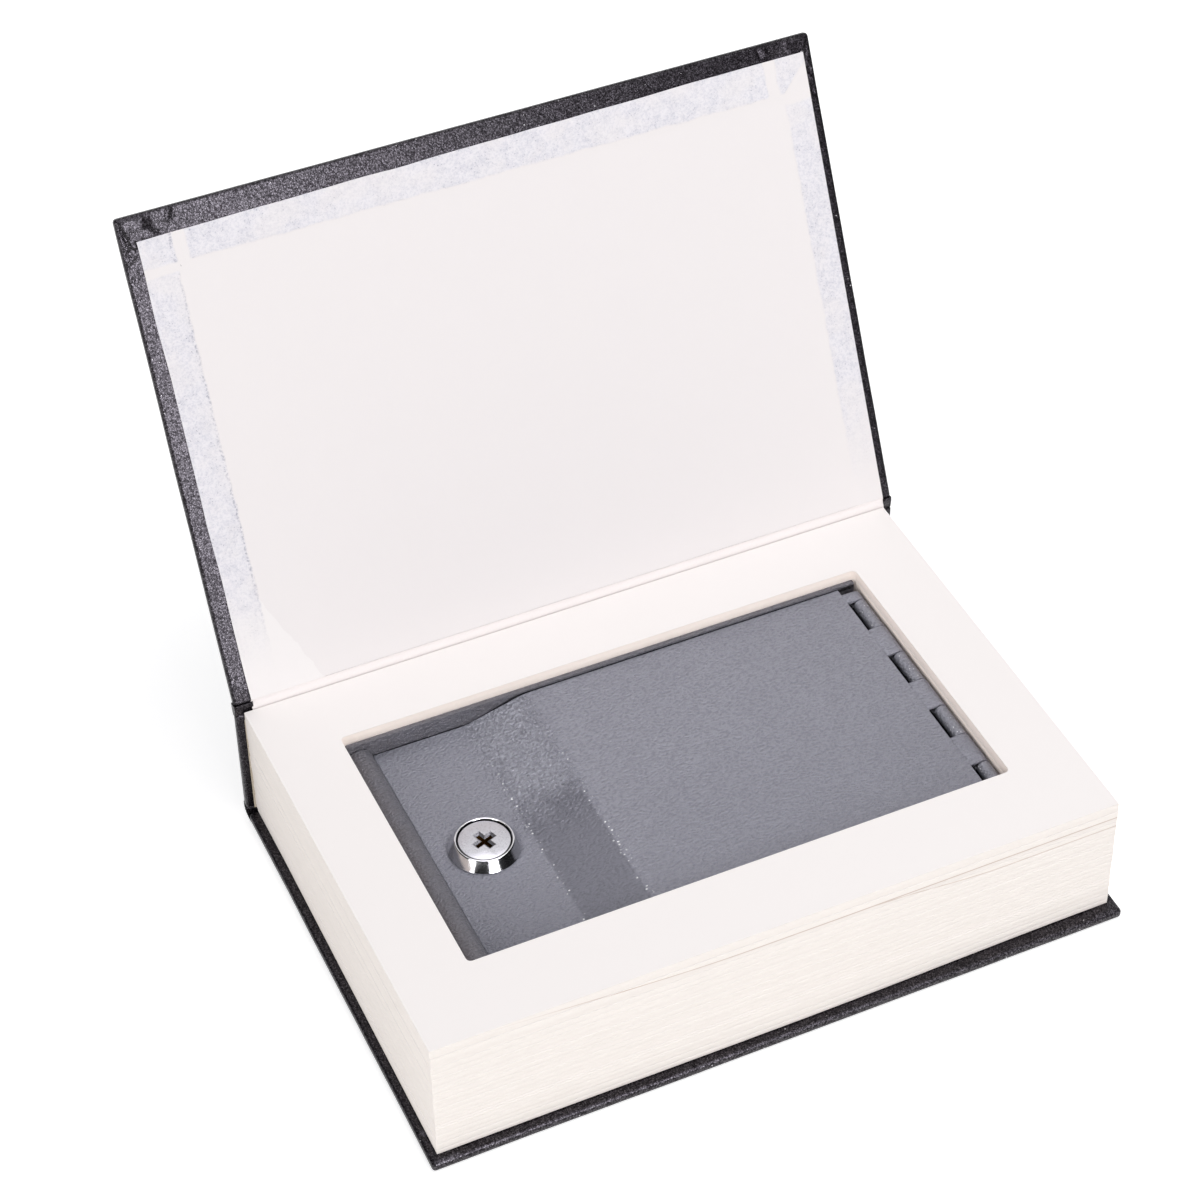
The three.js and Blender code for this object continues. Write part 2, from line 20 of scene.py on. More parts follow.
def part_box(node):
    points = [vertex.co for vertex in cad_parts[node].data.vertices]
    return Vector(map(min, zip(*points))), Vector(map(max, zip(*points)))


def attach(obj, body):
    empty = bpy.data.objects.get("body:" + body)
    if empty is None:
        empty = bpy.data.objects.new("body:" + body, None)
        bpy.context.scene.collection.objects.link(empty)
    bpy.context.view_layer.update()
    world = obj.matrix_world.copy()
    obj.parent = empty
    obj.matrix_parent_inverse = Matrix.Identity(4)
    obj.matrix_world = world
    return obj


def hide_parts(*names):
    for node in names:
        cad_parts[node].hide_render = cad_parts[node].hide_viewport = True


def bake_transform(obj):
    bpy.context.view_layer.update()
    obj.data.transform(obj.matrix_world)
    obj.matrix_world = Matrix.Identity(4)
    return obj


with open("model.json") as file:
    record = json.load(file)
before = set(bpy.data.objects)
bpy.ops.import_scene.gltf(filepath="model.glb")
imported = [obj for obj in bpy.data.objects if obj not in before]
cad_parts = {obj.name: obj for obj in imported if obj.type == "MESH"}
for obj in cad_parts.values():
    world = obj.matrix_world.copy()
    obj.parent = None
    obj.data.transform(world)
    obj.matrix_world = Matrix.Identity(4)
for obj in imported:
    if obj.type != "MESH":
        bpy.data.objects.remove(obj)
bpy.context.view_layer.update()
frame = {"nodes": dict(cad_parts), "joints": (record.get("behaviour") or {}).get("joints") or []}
LOG = logging.getLogger("book_safe")
JOINTS = {joint["name"]: joint for joint in frame["joints"]}
COVER_HINGE = Vector(JOINTS["front_cover_hinge"]["pos_m"])
COVER_OPEN = -math.radians(JOINTS["front_cover_hinge"]["range_deg"][0])
LID_PIN = Vector(JOINTS["lid_hinge"]["pos_m"])
LOCK_PLACE = Vector(JOINTS["plug_turn"]["pos_m"])
LID_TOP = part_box("box_lid")[1].z
PAGE_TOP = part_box("top_flyleaf")[1].z
UP = Vector((0.0, 0.0, 1.0))
KEPT_PLACE = "sheet_place"
NEAR = 1e-5
ALONG = 0.9  # a direction counts as lying along an axis when it points this far along it
ACROSS = 0.1  # and as lying across it when it points less far than this
CLOTH_CREASE = 60.0  # edges sharper than these degrees are shaded sharp
SPINE_CREASE = 50.0
STEEL_CREASE = 40.0
LEAF_CREASE = 30.0
PIN_NUMBERS = range(1, 5)

Colour = tuple[float, float, float, float]
Point = Sequence[float]
Span = tuple[float, float]
Reach = tuple[float, float, float, float]
Test = Callable[[Vector, Vector], bool]


def tone(red: float, green: float, blue: float) -> Colour:
    """Turn a colour as a screen shows it into the shader's own scale.

    Args:
        red: Red from 0 to 255.
        green: Green from 0 to 255.
        blue: Blue from 0 to 255.

    Returns:
        The linear colour with full opacity.
    """

    def linear(value: float) -> float:
        """Undo the screen's curve for one channel."""
        share = value / 255.0
        return share / 12.92 if share <= 0.04045 else ((share + 0.055) / 1.055) ** 2.4

    return (linear(red), linear(green), linear(blue), 1.0)


def smooth_step(low: float, high: float, value: float) -> float:
    """Rise from 0 at low to 1 at high along a soft curve."""
    share = min(1.0, max(0.0, (value - low) / (high - low)))
    return share * share * (3.0 - 2.0 * share)


def ripple(place: Vector, wave: float, layer: float) -> float:
    """Give an uneven value from -1 to 1 that changes along X and Y, the faster the larger the wave."""
    return noise.noise(Vector((place.x * wave, place.y * wave, layer)))


class Element(Enum):
    """What an editing step picks."""

    FACE = "FACE"
    EDGE = "EDGE"
    CORNER = "VERT"


class Metal(Enum):
    """Kinds of bare or plated metal in the lock, and a dark metal that paints the shade inside the
    housing's bore.
    """

    CHROME = "chrome"
    SATIN_CHROME = "satin_chrome"
    ZINC = "zinc"
    BRASS = "brass"
    # painted shade: a dark metal for the inside of the housing's bore
    BORE_SHADE = "dark_bore"


class Model:
    """A piece in the making, shaped in the steps that a modeller takes by hand."""

    def __init__(self, solid: bpy.types.Object) -> None:
        """Take over an object whose place is already in its mesh."""
        self.solid = solid

    @staticmethod
    def _added(name: str, size: Point | None = None) -> "Model":
        """Name the primitive that was just added and move its place into its mesh.

        Args:
            name: The piece's name.
            size: The scale to give it first, if any.

        Returns:
            The new piece.
        """
        piece = Model(bpy.context.object).named(name)
        if size is not None:
            piece.solid.scale = size
        bpy.ops.object.transform_apply(location=True, rotation=True, scale=True)
        return piece

    @staticmethod
    def block(name: str, low: Point, high: Point) -> "Model":
        """Add a block between two corners.

        Args:
            name: The piece's name.
            low: Its lowest corner.
            high: Its highest corner.

        Returns:
            The new piece.
        """
        bpy.ops.object.select_all(action="DESELECT")
        bpy.ops.mesh.primitive_cube_add(size=1, location=(Vector(low) + Vector(high)) / 2)
        return Model._added(name, Vector(high) - Vector(low))

    @staticmethod
    def rod(name: str, radius: float, bottom: Point, height: float, sides: int) -> "Model":
        """Add an upright round bar.

        Args:
            name: The piece's name.
            radius: Its radius.
            bottom: The middle of its lower end.
            height: Its height.
            sides: The number of its sides.

        Returns:
            The new piece.
        """
        bpy.ops.object.select_all(action="DESELECT")
        middle = Vector(bottom) + UP * height / 2
        bpy.ops.mesh.primitive_cylinder_add(vertices=sides, radius=radius, depth=height, location=middle)
        return Model._added(name)

    @staticmethod
    def sheet(name: str, low: Point, high: Point, columns: int, rows: int) -> "Model":
        """Add a level sheet without thickness, divided into a grid.

        Args:
            name: The piece's name.
            low: Its lowest corner, whose height it has.
            high: Its highest corner.
            columns: The number of cells along X.
            rows: The number of cells along Y.

        Returns:
            The new piece.
        """
        bpy.ops.object.select_all(action="DESELECT")
        middle = ((low[0] + high[0]) / 2, (low[1] + high[1]) / 2, low[2])
        bpy.ops.mesh.primitive_grid_add(
            x_subdivisions=columns, y_subdivisions=rows, size=1, location=middle
        )
        return Model._added(name, (high[0] - low[0], high[1] - low[1], 1.0))

    @staticmethod
    def turned(name: str, section: Sequence[Point], place: Vector, sides: int) -> "Model":
        """Draw a half section and spin it about an upright axis.

        Args:
            name: The piece's name.
            section: Closed outline of (radius, height) points.
            place: Where the axis stands.
            sides: The number of steps of the spin.

        Returns:
            The new piece.
        """
        bpy.ops.object.select_all(action="DESELECT")
        bpy.ops.mesh.primitive_circle_add(vertices=len(section), radius=0.01, fill_type="NOTHING")
        piece = Model._added(name)
        for corner, (radius, height) in zip(piece.solid.data.vertices, section):
            corner.co = place + Vector((radius, 0.0, height))
        piece._open(Element.CORNER)
        bpy.ops.mesh.select_all(action="SELECT")
        bpy.ops.mesh.spin(steps=sides, angle=math.tau, center=place, axis=(0, 0, 1))
        bpy.ops.mesh.select_all(action="SELECT")
        bpy.ops.mesh.remove_doubles(threshold=1e-6)
        bpy.ops.mesh.dissolve_degenerate(threshold=1e-7)
        bpy.ops.mesh.normals_make_consistent(inside=False)
        return piece._shut()

    def named(self, name: str) -> "Model":
        """Name the piece and its mesh.

        Args:
            name: The name.

        Returns:
            This piece.
        """
        self.solid.name = name
        self.solid.data.name = name
        return self

    def _chosen(self, *others: "Model") -> "Model":
        """Select only this piece and the others given, with this one active.

        Args:
            others: The pieces to select with it.

        Returns:
            This piece.
        """
        bpy.ops.object.select_all(action="DESELECT")
        for piece in (*others, self):
            piece.solid.select_set(True)
        bpy.context.view_layer.objects.active = self.solid
        return self

    def _open(self, element: Element) -> bmesh.types.BMesh:
        """Enter edit mode with nothing selected.

        Args:
            element: What the next step picks.

        Returns:
            The mesh that is being edited.
        """
        self._chosen()
        bpy.ops.object.mode_set(mode="EDIT")
        bpy.ops.mesh.select_mode(type=element.value)
        bpy.ops.mesh.select_all(action="DESELECT")
        return bmesh.from_edit_mesh(self.solid.data)

    def _shut(self) -> "Model":
        """Leave edit mode."""
        bpy.ops.object.mode_set(mode="OBJECT")
        return self

    def pick(self, element: Element, test: Test) -> int:
        """Enter edit mode and pick what passes a test, by its middle and its direction.

        Args:
            element: Faces, edges or corners.
            test: Takes the middle, and the normal or the edge's direction.

        Returns:
            How many were picked.
        """
        mesh = self._open(element)
        mesh.normal_update()
        if element is Element.FACE:
            found = [(face, face.calc_center_median(), face.normal) for face in mesh.faces]
        elif element is Element.EDGE:
            ends = [(edge, *(corner.co for corner in edge.verts)) for edge in mesh.edges]
            found = [(edge, (start + end) / 2, (end - start).normalized()) for edge, start, end in ends]
        else:
            found = [(corner, corner.co, corner.normal) for corner in mesh.verts]
        picked = [part for part, middle, direction in found if test(middle, direction)]
        for part in picked:
            part.select_set(True)
        bmesh.update_edit_mesh(self.solid.data)
        return len(picked)

    def _edit(
        self, element: Element, test: Test, step: Callable[..., object], **settings: object
    ) -> "Model":
        """Take one editing step on what passes a test.

        Args:
            element: Faces, edges or corners.
            test: What pick() takes.
            step: The editing step.
            **settings: The step's values.

        Returns:
            The piece itself.
        """
        if self.pick(element, test):
            step(**settings)
        return self._shut()

    def bevel(self, test: Test, width: float, segments: int) -> "Model":
        """Round the edges that pass a test."""
        settings = {"offset": width, "offset_type": "OFFSET", "segments": segments, "affect": "EDGES"}
        return self._edit(Element.EDGE, test, bpy.ops.mesh.bevel, **settings)

    def inset(self, test: Test, width: float) -> "Model":
        """Draw a border inside the faces that pass a test."""
        return self._edit(Element.FACE, test, bpy.ops.mesh.inset, thickness=width, use_even_offset=True)

    def extrude(self, test: Test, move: Point) -> "Model":
        """Push out the faces that pass a test."""
        step = {"TRANSFORM_OT_translate": {"value": tuple(move)}}
        return self._edit(Element.FACE, test, bpy.ops.mesh.extrude_region_move, **step)

    def slice(self, axis: int, places: Sequence[float]) -> "Model":
        """Cut new edges right across the piece.

        Args:
            axis: 0, 1 or 2 for X, Y or Z.
            places: Where to cut along that axis.

        Returns:
            The piece itself.
        """
        self._open(Element.FACE)
        across = Vector()
        across[axis] = 1.0
        for place in places:
            bpy.ops.mesh.select_all(action="SELECT")
            bpy.ops.mesh.bisect(plane_co=across * place, plane_no=across)
        return self._shut()

    def divide(self, test: Test, cuts: int) -> "Model":
        """Divide the faces that pass a test into a grid."""
        step = bpy.ops.mesh.subdivide
        return self._edit(Element.FACE, test, step, number_cuts=cuts, quadcorner="INNERVERT")

    def remove(self, test: Test) -> "Model":
        """Take away the faces that pass a test."""
        return self._edit(Element.FACE, test, bpy.ops.mesh.delete, type="FACE")

    def bridge(self, test: Test) -> "Model":
        """Join two loops of edges that pass a test with new faces."""
        return self._edit(Element.EDGE, test, bpy.ops.mesh.bridge_edge_loops)

    def shift(self, test: Test, move: Point) -> "Model":
        """Move the corners that pass a test."""
        return self._edit(Element.CORNER, test, bpy.ops.transform.translate, value=tuple(move))

    def roll(self, test: Test, centre: Point, angle: float, steps: int) -> "Model":
        """Roll the sheet on from the faces that pass a test, round an axis along Y.

        Args:
            test: Picks the end face of the sheet.
            centre: A point on the axis.
            angle: How far it rolls, in radians, from Z towards X.
            steps: How many faces the roll has.

        Returns:
            The piece itself.
        """
        turn = {"steps": steps, "angle": -angle, "center": centre, "axis": (0, 1, 0)}
        return self._edit(Element.FACE, test, bpy.ops.mesh.spin, **turn)

    def modify(self, kind: str, **settings: object) -> "Model":
        """Add a modifier with its values and apply it.

        Args:
            kind: The kind of modifier.
            settings: Its values by name.

        Returns:
            This piece.
        """
        self._chosen()
        modifier = self.solid.modifiers.new(kind.title(), kind)
        for name, value in settings.items():
            setattr(modifier, name, value)
        bpy.ops.object.modifier_apply(modifier=modifier.name)
        return self

    def ease(self, width: float, angle: float = 40.0) -> "Model":
        """Break all edges sharper than an angle, so that they catch the light.

        Args:
            width: The width of the bevel.
            angle: The angle in degrees.

        Returns:
            This piece.
        """
        return self.modify(
            "BEVEL", width=width, segments=2, limit_method="ANGLE", angle_limit=math.radians(angle)
        )

    def cut_away(self, tool: "Model") -> "Model":
        """Cut another piece's shape out of this one and throw that piece away.

        Args:
            tool: The piece that gives the cut.

        Returns:
            This piece.
        """
        self.modify("BOOLEAN", operation="DIFFERENCE", solver="EXACT", object=tool.solid)
        bpy.data.objects.remove(tool.solid)
        return self

    def mould(self, move: Callable[[Vector], Vector]) -> "Model":
        """Move every corner to the place that a function gives.

        Args:
            move: The function, from the old place to the new one.

        Returns:
            This piece.
        """
        for corner in self.solid.data.vertices:
            corner.co = move(corner.co.copy())
        self.solid.data.update()
        return self

    def remember(self) -> "Model":
        """Keep each corner's present place as an attribute that a finish can follow.

        Returns:
            This piece.
        """
        mesh = self.solid.data
        kept = mesh.attributes.new(KEPT_PLACE, "FLOAT_VECTOR", "POINT")
        for corner, value in zip(mesh.vertices, kept.data):
            value.vector = corner.co
        return self

    def stand(self, matrix: Matrix) -> "Model":
        """Move the piece to its place and take that place into its mesh.

        Args:
            matrix: The place.

        Returns:
            This piece.
        """
        self._chosen()
        self.solid.matrix_world = matrix
        bpy.ops.object.transform_apply(location=True, rotation=True, scale=True)
        return self

    def join(self, others: Sequence["Model"]) -> "Model":
        """Make other pieces part of this one.

        Args:
            others: The pieces to take in.

        Returns:
            This piece.
        """
        self._chosen(*others)
        bpy.ops.object.join()
        return self

    def smooth(self, angle: float) -> "Model":
        """Shade the piece smooth, except over edges sharper than an angle.

        Args:
            angle: The angle in degrees.

        Returns:
            This piece.
        """
        self._chosen()
        bpy.ops.object.shade_smooth_by_angle(angle=math.radians(angle))
        return self

    def dress(self, material: bpy.types.Material, slot: str, *nodes: str) -> "Model":
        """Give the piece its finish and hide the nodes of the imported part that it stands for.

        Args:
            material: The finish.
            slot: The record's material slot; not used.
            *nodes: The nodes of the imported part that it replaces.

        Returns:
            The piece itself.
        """
        self.solid.data.materials.clear()
        self.solid.data.materials.append(material)
        if nodes:
            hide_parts(*nodes)
        LOG.info("%s: %d faces", self.solid.name, len(self.solid.data.polygons))
        return self

    def second(self, material: bpy.types.Material, test: Callable[[Vector], bool]) -> "Model":
        """Give a second finish to the faces whose middle passes a test.

        Args:
            material: The second finish.
            test: The test, of a face's middle.

        Returns:
            This piece.
        """
        self.solid.data.materials.append(material)
        for face in self.solid.data.polygons:
            face.material_index = int(test(face.center))
        return self

    def ride(self, body: str) -> "Model":
        """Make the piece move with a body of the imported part."""
        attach(self.solid, body)
        return self


def lay(
    tree: bpy.types.NodeTree, kind: str, inputs: dict[str | int, object] | None = None, **options: object
) -> bpy.types.Node:
    """Add a shader node.

    Args:
        tree: The tree that it goes into.
        kind: Its kind, without the word that all kinds begin with.
        inputs: For each input its value, or the output or pattern that is led into it.
        **options: Its other values.

    Returns:
        The node.
    """
    node = tree.nodes.new(f"ShaderNode{kind}")
    for name, value in options.items():
        setattr(node, name, value)
    for name, value in (inputs or {}).items():
        source = getattr(value, "socket", value)
        if isinstance(source, bpy.types.NodeSocket):
            tree.links.new(source, node.inputs[name])
        else:
            node.inputs[name].default_value = source
    return node


@dataclass(frozen=True, eq=False)
class Pattern:
    """A value, colour or place that changes over a surface, and can be reckoned with like a number."""

    palette: "Palette"
    socket: bpy.types.NodeSocket

    def _with(self, operation: str, first: object, second: object = 0.0) -> "Pattern":
        """Reckon with two values."""
        return self.palette.make("Math", {0: first, 1: second}, operation=operation)

    def __add__(self, other: object) -> "Pattern":
        """Add."""
        return self._with("ADD", self, other)

    def __sub__(self, other: object) -> "Pattern":
        """Take away."""
        return self._with("SUBTRACT", self, other)

    def __rsub__(self, other: object) -> "Pattern":
        """Take this from a number."""
        return self._with("SUBTRACT", other, self)

    def __mul__(self, other: object) -> "Pattern":
        """Multiply."""
        return self._with("MULTIPLY", self, other)

    def __abs__(self) -> "Pattern":
        """Leave out the sign."""
        return self._with("ABSOLUTE", self)

    def most(self, other: object) -> "Pattern":
        """Give the larger of two values."""
        return self._with("MAXIMUM", self, other)

    def least(self, other: object) -> "Pattern":
        """Give the smaller of two values."""
        return self._with("MINIMUM", self, other)

    def between(self, low: float, high: float, start: float = 0.0, end: float = 1.0) -> "Pattern":
        """Run softly from start to end while this value goes from low to high."""
        limits = {"From Min": low, "From Max": high, "To Min": start, "To Max": end, "Value": self}
        return self.palette.make("MapRange", limits, interpolation_type="SMOOTHSTEP")

    def fading(self, low: float, high: float) -> "Pattern":
        """Fall softly from 1 to 0 while this value goes from low to high."""
        return self.between(low, high, 1.0, 0.0)


Layers = tuple[Pattern, Pattern]


NOISE_SPREAD: Span = (0.3, 0.7)  # the values that a noise mostly takes


@dataclass(frozen=True)
class Clouds:
    """Cloudy noise of a real grain size, which runs from start to end between two of its values."""

    grain: float
    detail: float = 3.0
    rough: float = 0.5
    low: float = 0.0
    high: float = 1.0
    start: float = 0.0
    end: float = 1.0


class Palette:
    """The nodes of one material, laid out by short calls."""

    def __init__(self, name: str) -> None:
        """Start a material with a shader and an output.

        Args:
            name: The material's name.
        """
        self.material = bpy.data.materials.new(name)
        self.material.use_nodes = True
        self.tree = self.material.node_tree
        self.tree.nodes.clear()
        self.shader = lay(self.tree, "BsdfPrincipled")
        lay(self.tree, "OutputMaterial", {"Surface": self.shader.outputs["BSDF"]})

    def make(
        self, kind: str, inputs: dict[str | int, object], output: str | int = 0, **options: object
    ) -> Pattern:
        """Add a node and give one of its outputs.

        Args:
            kind: The node's kind.
            inputs: For each input its value or what is led into it.
            output: The output's name or number.
            **options: The node's other values.

        Returns:
            That output.
        """
        return Pattern(self, lay(self.tree, kind, inputs, **options).outputs[output])

    def set(self, **values: object) -> "Palette":
        """Set the shader's own sockets, named with underscores for spaces.

        Args:
            values: The values by socket.

        Returns:
            This palette.
        """
        for name, value in values.items():
            self.shader.inputs[name.replace("_", " ")].default_value = value
        return self

    def feed(self, socket: str, source: Pattern) -> None:
        """Lead a pattern into one of the shader's sockets."""
        self.tree.links.new(source.socket, self.shader.inputs[socket])

    def place(self, stretch: Point | None = None) -> Pattern:
        """Read the place on the object, stretched by a factor along each axis."""
        where = self.make("TexCoord", {}, "Object")
        return self.make("Mapping", {"Scale": stretch, "Vector": where}) if stretch else where

    def facing(self) -> Pattern:
        """Read which way the surface faces on the object."""
        return self.make("TexCoord", {}, "Normal")

    def kept_place(self) -> Pattern:
        """Read the place that the piece's own attribute keeps."""
        return self.make("Attribute", {}, "Vector", attribute_name=KEPT_PLACE)

    def split(self, where: Pattern) -> list[Pattern]:
        """Take a place or a colour apart into its three numbers."""
        return [Pattern(self, part) for part in lay(self.tree, "SeparateXYZ", {0: where}).outputs]

    def noise(self, where: Pattern, grain: float, detail: float = 3.0, rough: float = 0.5) -> Pattern:
        """Draw clouds.

        Args:
            where: The place to read them at.
            grain: The size of a grain.
            detail: How many finer layers they have.
            rough: How strong the finer layers are.

        Returns:
            The clouds, around 0.5.
        """
        inputs = {"Scale": 1.0 / grain, "Detail": detail, "Roughness": rough, "Vector": where}
        return self.make("TexNoise", inputs)

    def clouds(self, where: Pattern, look: Clouds) -> Pattern:
        """Draw clouds and bring out a part of their range.

        Args:
            where: The place to read them at.
            look: Their grain and range.

        Returns:
            The clouds.
        """
        drawn = self.noise(where, look.grain, look.detail, look.rough)
        return drawn.between(look.low, look.high, look.start, look.end)

    def cells(self, where: Pattern, size: float) -> tuple[Pattern, Pattern, Pattern]:
        """Draw cells of a real size, each with two numbers of its own between 0 and 1.

        Args:
            where: The place to read them at.
            size: The size of a cell.

        Returns:
            The distance from the cell's middle, and its two numbers.
        """
        node = lay(self.tree, "TexVoronoi", {"Scale": 1.0 / size, "Vector": where})
        first, second, _ = self.split(Pattern(self, node.outputs[1]))
        return Pattern(self, node.outputs[0]), first, second

    def mix(self, share: object, first: object, second: object) -> Pattern:
        """Mix two colours."""
        return self.make("Mix", {0: share, 6: first, 7: second}, 2, data_type="RGBA")

    def bump(self, height: Pattern, depth: float, below: Pattern | None = None) -> Pattern:
        """Raise the surface by a pattern.

        Args:
            height: The pattern.
            depth: The real height of the pattern from 0 to 1.
            below: The normal of an earlier pattern that this one lies on.

        Returns:
            The new normal.
        """
        inputs = {"Distance": depth, "Height": height}
        return self.make("Bump", inputs if below is None else inputs | {"Normal": below})


@dataclass(frozen=True)
class Leatherette:
    """Black embossed covering cloth with a low sheen, dust specks and painted highlights on its raised
    grain.
    """

    # dark for the grain's hollows, light for its raised tops, whose lightness is a painted highlight
    dark: Colour = tone(12, 10, 12)
    light: Colour = tone(40, 35, 41)
    speck: Colour = tone(225, 222, 226)
    sheen: Colour = tone(252, 246, 255)
    grain: float = 0.00048
    grain_depth: float = 0.00004
    fine: float = 0.7
    fine_layers: float = 1.0
    dip: float = 0.8
    raised: Span = (-0.10, 0.45)
    cloud: Clouds = Clouds(grain=0.012, detail=2.0, low=0.25, high=0.75, start=0.55)
    dust_spacing: float = 0.0022
    dust_size: Span = (0.022, 0.090)
    dust_edge: float = 0.012
    dust_share: Span = (0.50, 0.52)
    roughness: Span = (0.24, 0.38)
    glint_cells: Span = (0.22, 1.0)
    glint_rise: Span = (0.1, 0.9)
    glint_top: Span = (0.40, 1.0)
    matt: float = 0.45
    matt_along: Span = (-0.04, 0.09)
    matt_height: Span = (0.05, 0.06)

    def material(self) -> bpy.types.Material:
        """Make the finish.

        Returns:
            The finished material.
        """
        paint = Palette("black_leatherette")
        where = paint.place()
        within, _, lit = paint.cells(where, self.grain)
        fine = paint.noise(where, self.grain * self.fine, self.fine_layers)
        height = within * -self.dip + fine
        raised = height.between(*self.raised)
        # painted highlight: the raised grain is painted lighter, in clouds
        base = paint.mix(raised * paint.clouds(where, self.cloud), self.dark, self.light)
        off, chosen, large = paint.cells(where, self.dust_spacing)
        near = (off - large.between(0.0, 1.0, *self.dust_size)).fading(-self.dust_edge, self.dust_edge)
        paint.feed("Base Color", paint.mix(near * chosen.between(*self.dust_share), base, self.speck))
        paint.feed("Roughness", fine.between(*NOISE_SPREAD, *self.roughness))
        paint.feed("Normal", paint.bump(height, self.grain_depth))
        glint = lit.between(0.0, 1.0, *self.glint_cells) * raised.between(*self.glint_rise, *self.glint_top)
        along, _, up = paint.split(where)
        matt = along.between(*self.matt_along, 0.0, self.matt) * up.between(*self.matt_height)
        paint.feed("Specular IOR Level", glint * (1.0 - matt))
        paint.set(Specular_Tint=self.sheen)
        return paint.material


@dataclass(frozen=True)
class Endpaper:
    """White endpaper, mottled where it is glued over the turned-in covering."""

    paper: Colour = tone(233, 228, 228)
    weave: Colour = tone(231, 226, 225)
    # painted light: lighter paper on the lifted corner beyond the diagonal crease
    lifted_light: Colour = tone(238, 234, 233)
    shown: Colour = tone(230, 227, 231)
    blot: Colour = tone(202, 201, 210)
    speck: Colour = tone(146, 144, 160)
    left: float = -0.1006
    right: float = 0.1053
    fore: float = 0.1420
    gap: float = 0.0016
    gap_left: float = 0.0024
    gap_right: float = -0.0035
    gap_fore: float = -0.0010
    soft: float = 0.0005
    gap_soft: float = 0.0009
    foot: Span = (0.006, 0.045)
    mitre: float = 0.0372
    mitre_soft: float = 0.0010
    mitre_reach: Span = (0.1375, 0.1395)
    waver: float = 0.005
    waver_reach: float = 0.0016
    blotch: Clouds = Clouds(grain=0.0028, detail=4.0, rough=0.6, low=0.40, high=0.66)
    mottle: Clouds = Clouds(grain=0.0008, rough=0.7, low=0.42, high=0.66)
    prick: Clouds = Clouds(grain=0.00055, detail=2.0, low=0.60, high=0.70)
    thin: Clouds = Clouds(grain=0.013, detail=2.0, low=0.30, high=0.62)
    thinnest: float = 0.55
    fibre: float = 0.0004
    fibre_depth: float = 0.00003
    lift: float = 0.75
    lift_slope: float = 2.04
    lift_line: Span = (-0.1738, -0.1730)
    rim: Span = (0.0002, 0.0008)
    rim_inset: float = 0.0003
    rim_force: float = 0.75
    blotch_share: float = 0.5
    stain_share: float = 0.55
    prick_share: float = 0.9
    wrinkle: float = 0.0014
    wrinkle_depth: float = 0.00022

    def material(self) -> bpy.types.Material:
        """Make the finish for the sheet inside the front cover.

        Returns:
            The finished material.
        """
        paint = Palette("glued_endpaper")
        where = paint.kept_place()
        along, reach, _ = paint.split(where)
        wander = (paint.noise(where, self.waver) - 0.5) * self.waver_reach
        side = along + wander
        out = wander - reach
        at_left = side.fading(self.left - self.soft, self.left + self.soft)
        at_right = side.between(self.right - self.soft, self.right + self.soft)
        at_fore = out.between(self.fore - self.soft, self.fore + self.soft)
        strip_left = self._beside(side, self.left + self.gap_left)
        strip_right = self._beside(side, self.right + self.gap_right)
        strip_fore = self._beside(out, self.fore + self.gap_fore)
        foot = out.between(*self.foot)
        ends = at_left.most(at_right) * strip_fore * foot
        band = ends.most(at_fore * (strip_left * strip_right))
        below_mitre = (side + self.mitre - out).between(0.0, self.mitre_soft)
        below_mitre = below_mitre * out.between(*self.mitre_reach)
        band = band * (1.0 - below_mitre * at_right)
        blotch = paint.clouds(where, self.blotch)
        mottle = paint.clouds(where, self.mottle)
        stain = paint.mix((blotch * self.blotch_share + mottle) * self.stain_share, self.shown, self.blot)
        prick = paint.clouds(where, self.prick) * (blotch * self.prick_share)
        stain = paint.mix(prick, stain, self.speck)
        fibre = paint.noise(where, self.fibre)
        # painted light on the lifted side of the diagonal crease
        lifted = (side * self.lift_slope + out).fading(*self.lift_line) * self.lift
        plain = paint.mix(lifted, paint.mix(fibre, self.paper, self.weave), self.lifted_light)
        rim = abs(side - (self.left - self.rim_inset))
        dotted = rim.between(*self.rim, self.rim_force, 0.0) * mottle
        stain = paint.mix(dotted * foot, stain, self.speck)
        share = band * paint.clouds(where, self.thin).between(0.0, 1.0, self.thinnest, 1.0)
        paint.feed("Base Color", paint.mix(share, plain, stain))
        below = paint.bump(fibre, self.fibre_depth)
        paint.feed("Normal", paint.bump(paint.noise(where, self.wrinkle) * band, self.wrinkle_depth, below))
        paint.set(Roughness=0.82, Specular_IOR_Level=0.25)
        return paint.material

    def _beside(self, value: Pattern, middle: float) -> Pattern:
        """Leave out a strip where the covering's layers end and the paper lies free."""
        return abs(value - middle).between(self.gap, self.gap + self.gap_soft)


@dataclass(frozen=True)
class PlainPaper:
    """Smooth uncoated paper seen on its face."""

    name: str
    first: Colour
    second: Colour
    fibre: float = 0.0005
    fibre_layers: float = 4.0
    fibre_rough: float = 0.6
    depth: float = 0.00002
    cloud: float = 0.03

    def material(self) -> bpy.types.Material:
        """Make the finish.

        Returns:
            The finished material.
        """
        paint = Palette(self.name)
        where = paint.place()
        fibre = paint.noise(where, self.fibre, self.fibre_layers, self.fibre_rough)
        share = fibre * paint.noise(where, self.cloud, 2.0)
        paint.feed("Base Color", paint.mix(share, self.first, self.second))
        paint.feed("Normal", paint.bump(fibre, self.depth))
        paint.set(Roughness=0.85, Specular_IOR_Level=0.25)
        return paint.material


